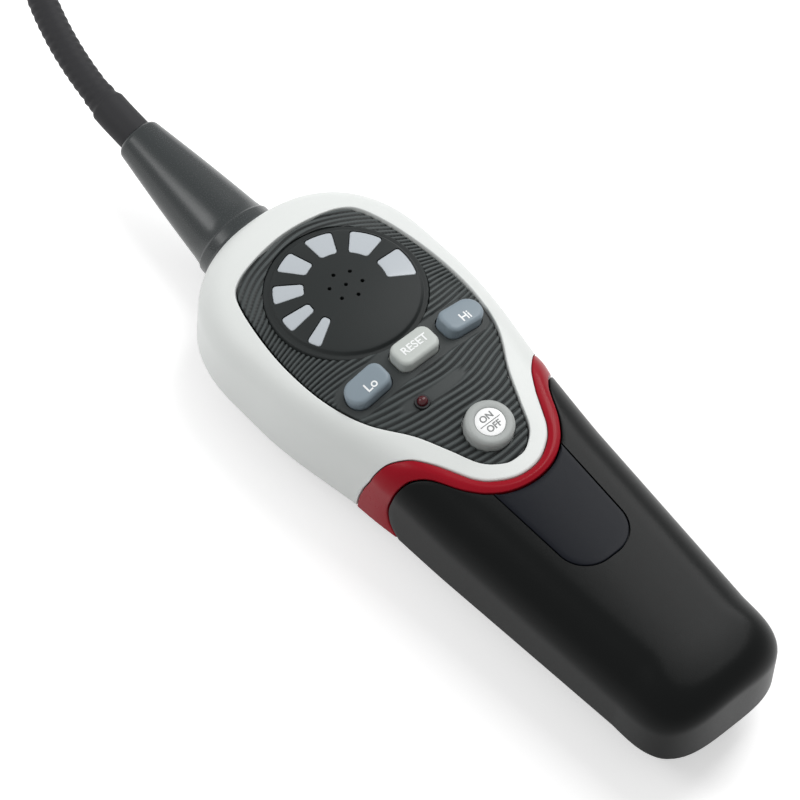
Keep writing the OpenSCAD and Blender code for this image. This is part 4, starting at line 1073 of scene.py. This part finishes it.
# plastics and rubber: colour, roughness, depth of the grain in mm, specular, drift of the tone, and coat
plastics = {
    "white_shell": ("satinWhite", (222, 225, 223), 0.42, 0.012, 0.35, 0.03),
    "black_case": ("gripBlack", (12, 14, 14), 0.32, 0.02, 0.095, 0.2),
    "red_trim": ("glossRed", (150, 12, 30), 0.3, 0.006, 0.1, 0.06, 0.02),
    "plate_black": ("plateBlack", (15, 18, 25), 0.34, 0.01, 0.085, 0.15),
    "charcoal_panel": ("ribbedCharcoal", (54, 58, 58), 0.5, 0.02, 0.22, 0.15),
    "disc_grey": ("discCharcoal", (42, 45, 45), 0.48, 0.02, 0.12, 0.1),
    "window_clear": ("frostedWindow", (182, 188, 193), 0.3, 0.01, 0.3, 0.12),
    "key_blue_grey": ("keyBlueGrey", (128, 141, 150), 0.45, 0.02, 0.35, 0.06),
    "key_warm_grey": ("keyWarmGrey", (188, 193, 189), 0.45, 0.02, 0.35, 0.05),
    "key_light_grey": ("keyLightGrey", (164, 168, 166), 0.45, 0.02, 0.35, 0.05),
    "inlay_white": ("inlayWhite", (240, 241, 241), 0.3, 0.006, 0.4, 0.02),
    "lamp_red": ("lampRed", (70, 8, 18), 0.2, 0.004, 0.3, 0.1, 0.1),
    "nose_slate": ("noseSlate", (31, 37, 38), 0.27, 0.015, 0.48, 0.12),
    "neck_rubber": ("neckRubber", (42, 42, 44), 0.6, 0.04, 0.2, 0.2),
    "board_green": ("solderMask", (20, 80, 50), 0.35, 0.02, 0.5, 0.2),
    "part_black": ("mouldedBlack", (26, 26, 28), 0.5, 0.02, 0.3, 0.2),
    "lamp_clear": ("clearLamp", (232, 229, 203), 0.2, 0.004, 0.5, 0.1),
    "plug_white": ("plugWhite", (230, 225, 210), 0.45, 0.02, 0.4, 0.08),
    "filter_felt": ("feltWhite", (236, 236, 232), 0.9, 0.2, 0.1, 0.1),
    "legendWhite": ("legendWhite", (240, 242, 242), 0.5, 0.01, 0.3, 0.02),
    "legendGrey": ("legendGrey", (128, 130, 130), 0.5, 0.01, 0.3, 0.02),
}
# metals: colour, roughness and how metallic
metals = {
    "steel": ("platedSteel", (190, 192, 194), 0.3, 1.0),
    "screwBlack": ("blackZinc", (64, 65, 68), 0.38, 1.0),
    "brass": ("turnedBrass", (190, 160, 92), 0.32, 1.0),
    "cell_wrap": ("cellWrap", (70, 110, 150), 0.35, 0.6),
}
finishes = {}
for slot, (name, *values) in plastics.items():
    finishes[slot] = makeFinish(name, mouldGrain, *values)
for slot, (name, rgb, rough, metallic) in metals.items():
    finishes[slot] = makeFinish(name, turnedMetal, rgb, rough, metal["bump"], metallic=metallic)


# painted light and shade: the colour is darkened in the grooves between the ribs as painted shade and
# lightened on their crests as painted light
def paintRibLightAndShade(mat, crestPaintedLight=1.75, fall=1.5):
    tree = mat.node_tree
    base = tree.nodes["Principled BSDF"].inputs["Base Color"]
    groove = tree.nodes.new("ShaderNodeAttribute")
    groove.attribute_name = "groove"
    # painted shade deepest in the grooves, painted light strongest on the crests
    value = addMath(tree, "MULTIPLY_ADD", groove.outputs["Fac"], -fall, crestPaintedLight)
    tree.links.new(addShade(tree, base.links[0].from_socket, value), base)


# the ribbed panel's finish carries the painted groove shade and crest light
paintRibLightAndShade(finishes["charcoal_panel"])


def paint(obj, finish):
    obj.data.materials.clear()
    obj.data.materials.append(finishes[finish])


def finishPiece(obj, slot, *nodes, body="housing", finish=None):
    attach(obj, body)
    if nodes:
        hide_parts(*nodes)
    paint(obj, finish or slot)


finishPiece(buildWhiteShell(), "white_shell", "front_shell")
finishPiece(buildRedBand(), "red_trim", "red_band")
grip = buildHandle()
finishPiece(buildPlate(grip), "plate_black", "handle_plate")
finishPiece(grip, "black_case", "handle_front")
finishPiece(buildPlateSeat(), "black_case")
finishPiece(buildRearCase(), "black_case", "rear_case")
finishPiece(buildDoor(), "black_case", "battery_door")
finishPiece(buildCaseScrews(), "steel", "case_screws", finish="screwBlack")
finishPiece(buildDoorScrew(), "steel", "door_screw", finish="screwBlack")
print("housing made")
finishPiece(buildPanel(), "charcoal_panel", "keypad_panel")
finishPiece(buildDisc(), "disc_grey", "indicator_disc")
for i in range(1, windows["count"] + 1):
    finishPiece(buildWindow(i), "window_clear", f"signal_window_{i}")
print("panel, disc and windows made")
# key, place in the row, slot, and the print: words, size and shift from the middle
rowKeys = [("low", -1, "key_blue_grey", "Lo", 3.2, (0.6, -1.2)),
           ("reset", 0, "key_warm_grey", "RESET", 2.85, (0, 0)),
           ("high", 1, "key_blue_grey", "Hi", 3.2, (-0.2, -1.2))]
for name, i, slot, *_ in rowKeys:
    finishPiece(buildRowKey(name + "Key", i), slot, name + "_key", body=name + "_key")
finishPiece(buildPowerKey(), "key_light_grey", "power_key", body="power_key")
finishPiece(buildInlay(), "inlay_white", "power_inlay", body="power_key")
for name, i, slot, words, size, shift in rowKeys:
    printed = buildLegend("legend" + name.title(), words, size, rowKeyFrame(i), shift)
    paint(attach(printed, name + "_key"), "legendWhite")
for name, words, shift in (("legendOn", "ON", (0, 1.35)), ("legendOff", "OFF", (0, -1.45))):
    printed = buildLegend(name, words, legend["powerSize"], powerFrame(), shift, crowned=False)
    paint(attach(printed, "power_key"), "legendGrey")
paint(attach(buildLegendBar(), "power_key"), "legendGrey")
print("keys made")
finishPiece(buildNose(), "nose_slate", "nose_cone")
finishPiece(buildNeck(), "neck_rubber", "gooseneck")
finishPiece(buildSleeve(), "neck_rubber", "neck_sleeve")
print("nose and neck made")

# solids that stay as they are take the finish of their slot
slotOf = {part["node"]: part["material_slot"] for part in frame["record"]["subparts"]}
for name, obj in frame["nodes"].items():
    if not obj.hide_render:
        paint(obj, slotOf.get(name, "part_black"))
        softenShading(obj, 30)

# studio: pale floor, white surround, large soft lamps
studio = {
    "floorTone": 0.82, "floorGlow": 0.5, "floorHalf": 3000, "floorDrop": 0.05, "floorRough": 0.9,
    "ambient": 0.37, "aim": (0, -0.04, 0.02),
    # name, place, width and height in metres, watts: a tall soft box on the right, a small lamp by the nose
    "lamps": [("keyLamp", (0.62, 0.1, 0.79), (0.4, 1.0), 7.4),
              ("noseLamp", (-0.21, 0.165, 0.27), (0.15, 0.24), 0.42)],
}


# 1 for what is seen straight on, mirrored or through glass
def whiteToEyes(tree):
    path = tree.nodes.new("ShaderNodeLightPath")
    seen = addMath(tree, "MAXIMUM", path.outputs["Is Camera Ray"], path.outputs["Is Glossy Ray"])
    return addMath(tree, "MAXIMUM", seen, path.outputs["Is Transmission Ray"])


def buildSurround():
    world = bpy.data.worlds.new("studioWhite")
    world.use_nodes = True
    bpy.context.scene.world = world
    tree, ambient = world.node_tree, studio["ambient"]
    ground = tree.nodes["Background"]
    ground.inputs["Color"].default_value = (1, 1, 1, 1)
    strength = addMath(tree, "MULTIPLY_ADD", whiteToEyes(tree), 1 - ambient, ambient)
    tree.links.new(strength, ground.inputs["Strength"])


def buildLamps():
    for name, place, size, power in studio["lamps"]:
        lamp = bpy.data.lights.new(name, "AREA")
        lamp.shape, lamp.energy = "RECTANGLE", power
        lamp.size, lamp.size_y = size
        obj = addObject(name, lamp)
        obj.location, obj.visible_camera = place, False
        obj.rotation_euler = (Vector(studio["aim"]) - Vector(place)).to_track_quat("-Z", "Y").to_euler()


def buildFloor():
    half, z = studio["floorHalf"], cadBox[0][2] / mm - studio["floorDrop"]
    floor = addMesh("studioFloor", [(*p, z) for p in boxLoop(half, half)], [(0, 1, 2, 3)])
    mat, tree, shader = newMaterial("paleFloor")
    shader.inputs["Base Color"].default_value = (studio["floorTone"],) * 3 + (1,)
    shader.inputs["Roughness"].default_value = studio["floorRough"]
    shader.inputs["Specular IOR Level"].default_value = 0.0
    shader.inputs["Emission Color"].default_value = (1, 1, 1, 1)
    glow = addMath(tree, "MULTIPLY", whiteToEyes(tree), studio["floorGlow"])
    tree.links.new(glow, shader.inputs["Emission Strength"])
    floor.data.materials.append(mat)


camera = {
    "azimuth": 47.0, "elevation": 58.3, "roll": 5.9,   # degrees
    "distance": 1.5, "sensor": 36.0, "clipEnd": 50,
    "pixelsPerMm": 4.3, "picture": 800,
    "discPixel": (346.0, 284.3),                       # where the top of the disc lies in the picture
}


def buildCamera():
    a, e, roll = (radians(camera[k]) for k in ("azimuth", "elevation", "roll"))
    back = Vector((-sin(a) * cos(e), -cos(a) * cos(e), sin(e)))
    right = Vector((cos(a), -sin(a), 0))
    up = right.cross(-back)
    right, up = right * cos(roll) + up * sin(roll), up * cos(roll) - right * sin(roll)
    off = [(v - camera["picture"] / 2) / camera["pixelsPerMm"] for v in camera["discPixel"]]
    discTop = Vector((0, 0, crest(0) + disc["rise"]))
    middle = (discTop - right * off[0] + up * off[1]) * mm
    data = bpy.data.cameras.new("studioCamera")
    data.sensor_width, data.clip_end = camera["sensor"], camera["clipEnd"]
    data.lens = camera["sensor"] * camera["distance"] / (camera["picture"] / camera["pixelsPerMm"] * mm)
    obj = addObject("studioCamera", data)
    turn = Matrix((right, up, back)).transposed().to_4x4()
    obj.matrix_world = Matrix.Translation(middle + back * camera["distance"]) @ turn
    bpy.context.scene.camera = obj


buildSurround()
buildLamps()
buildFloor()
buildCamera()
bpy.context.scene.view_settings.view_transform = "Standard"
print("studio ready")
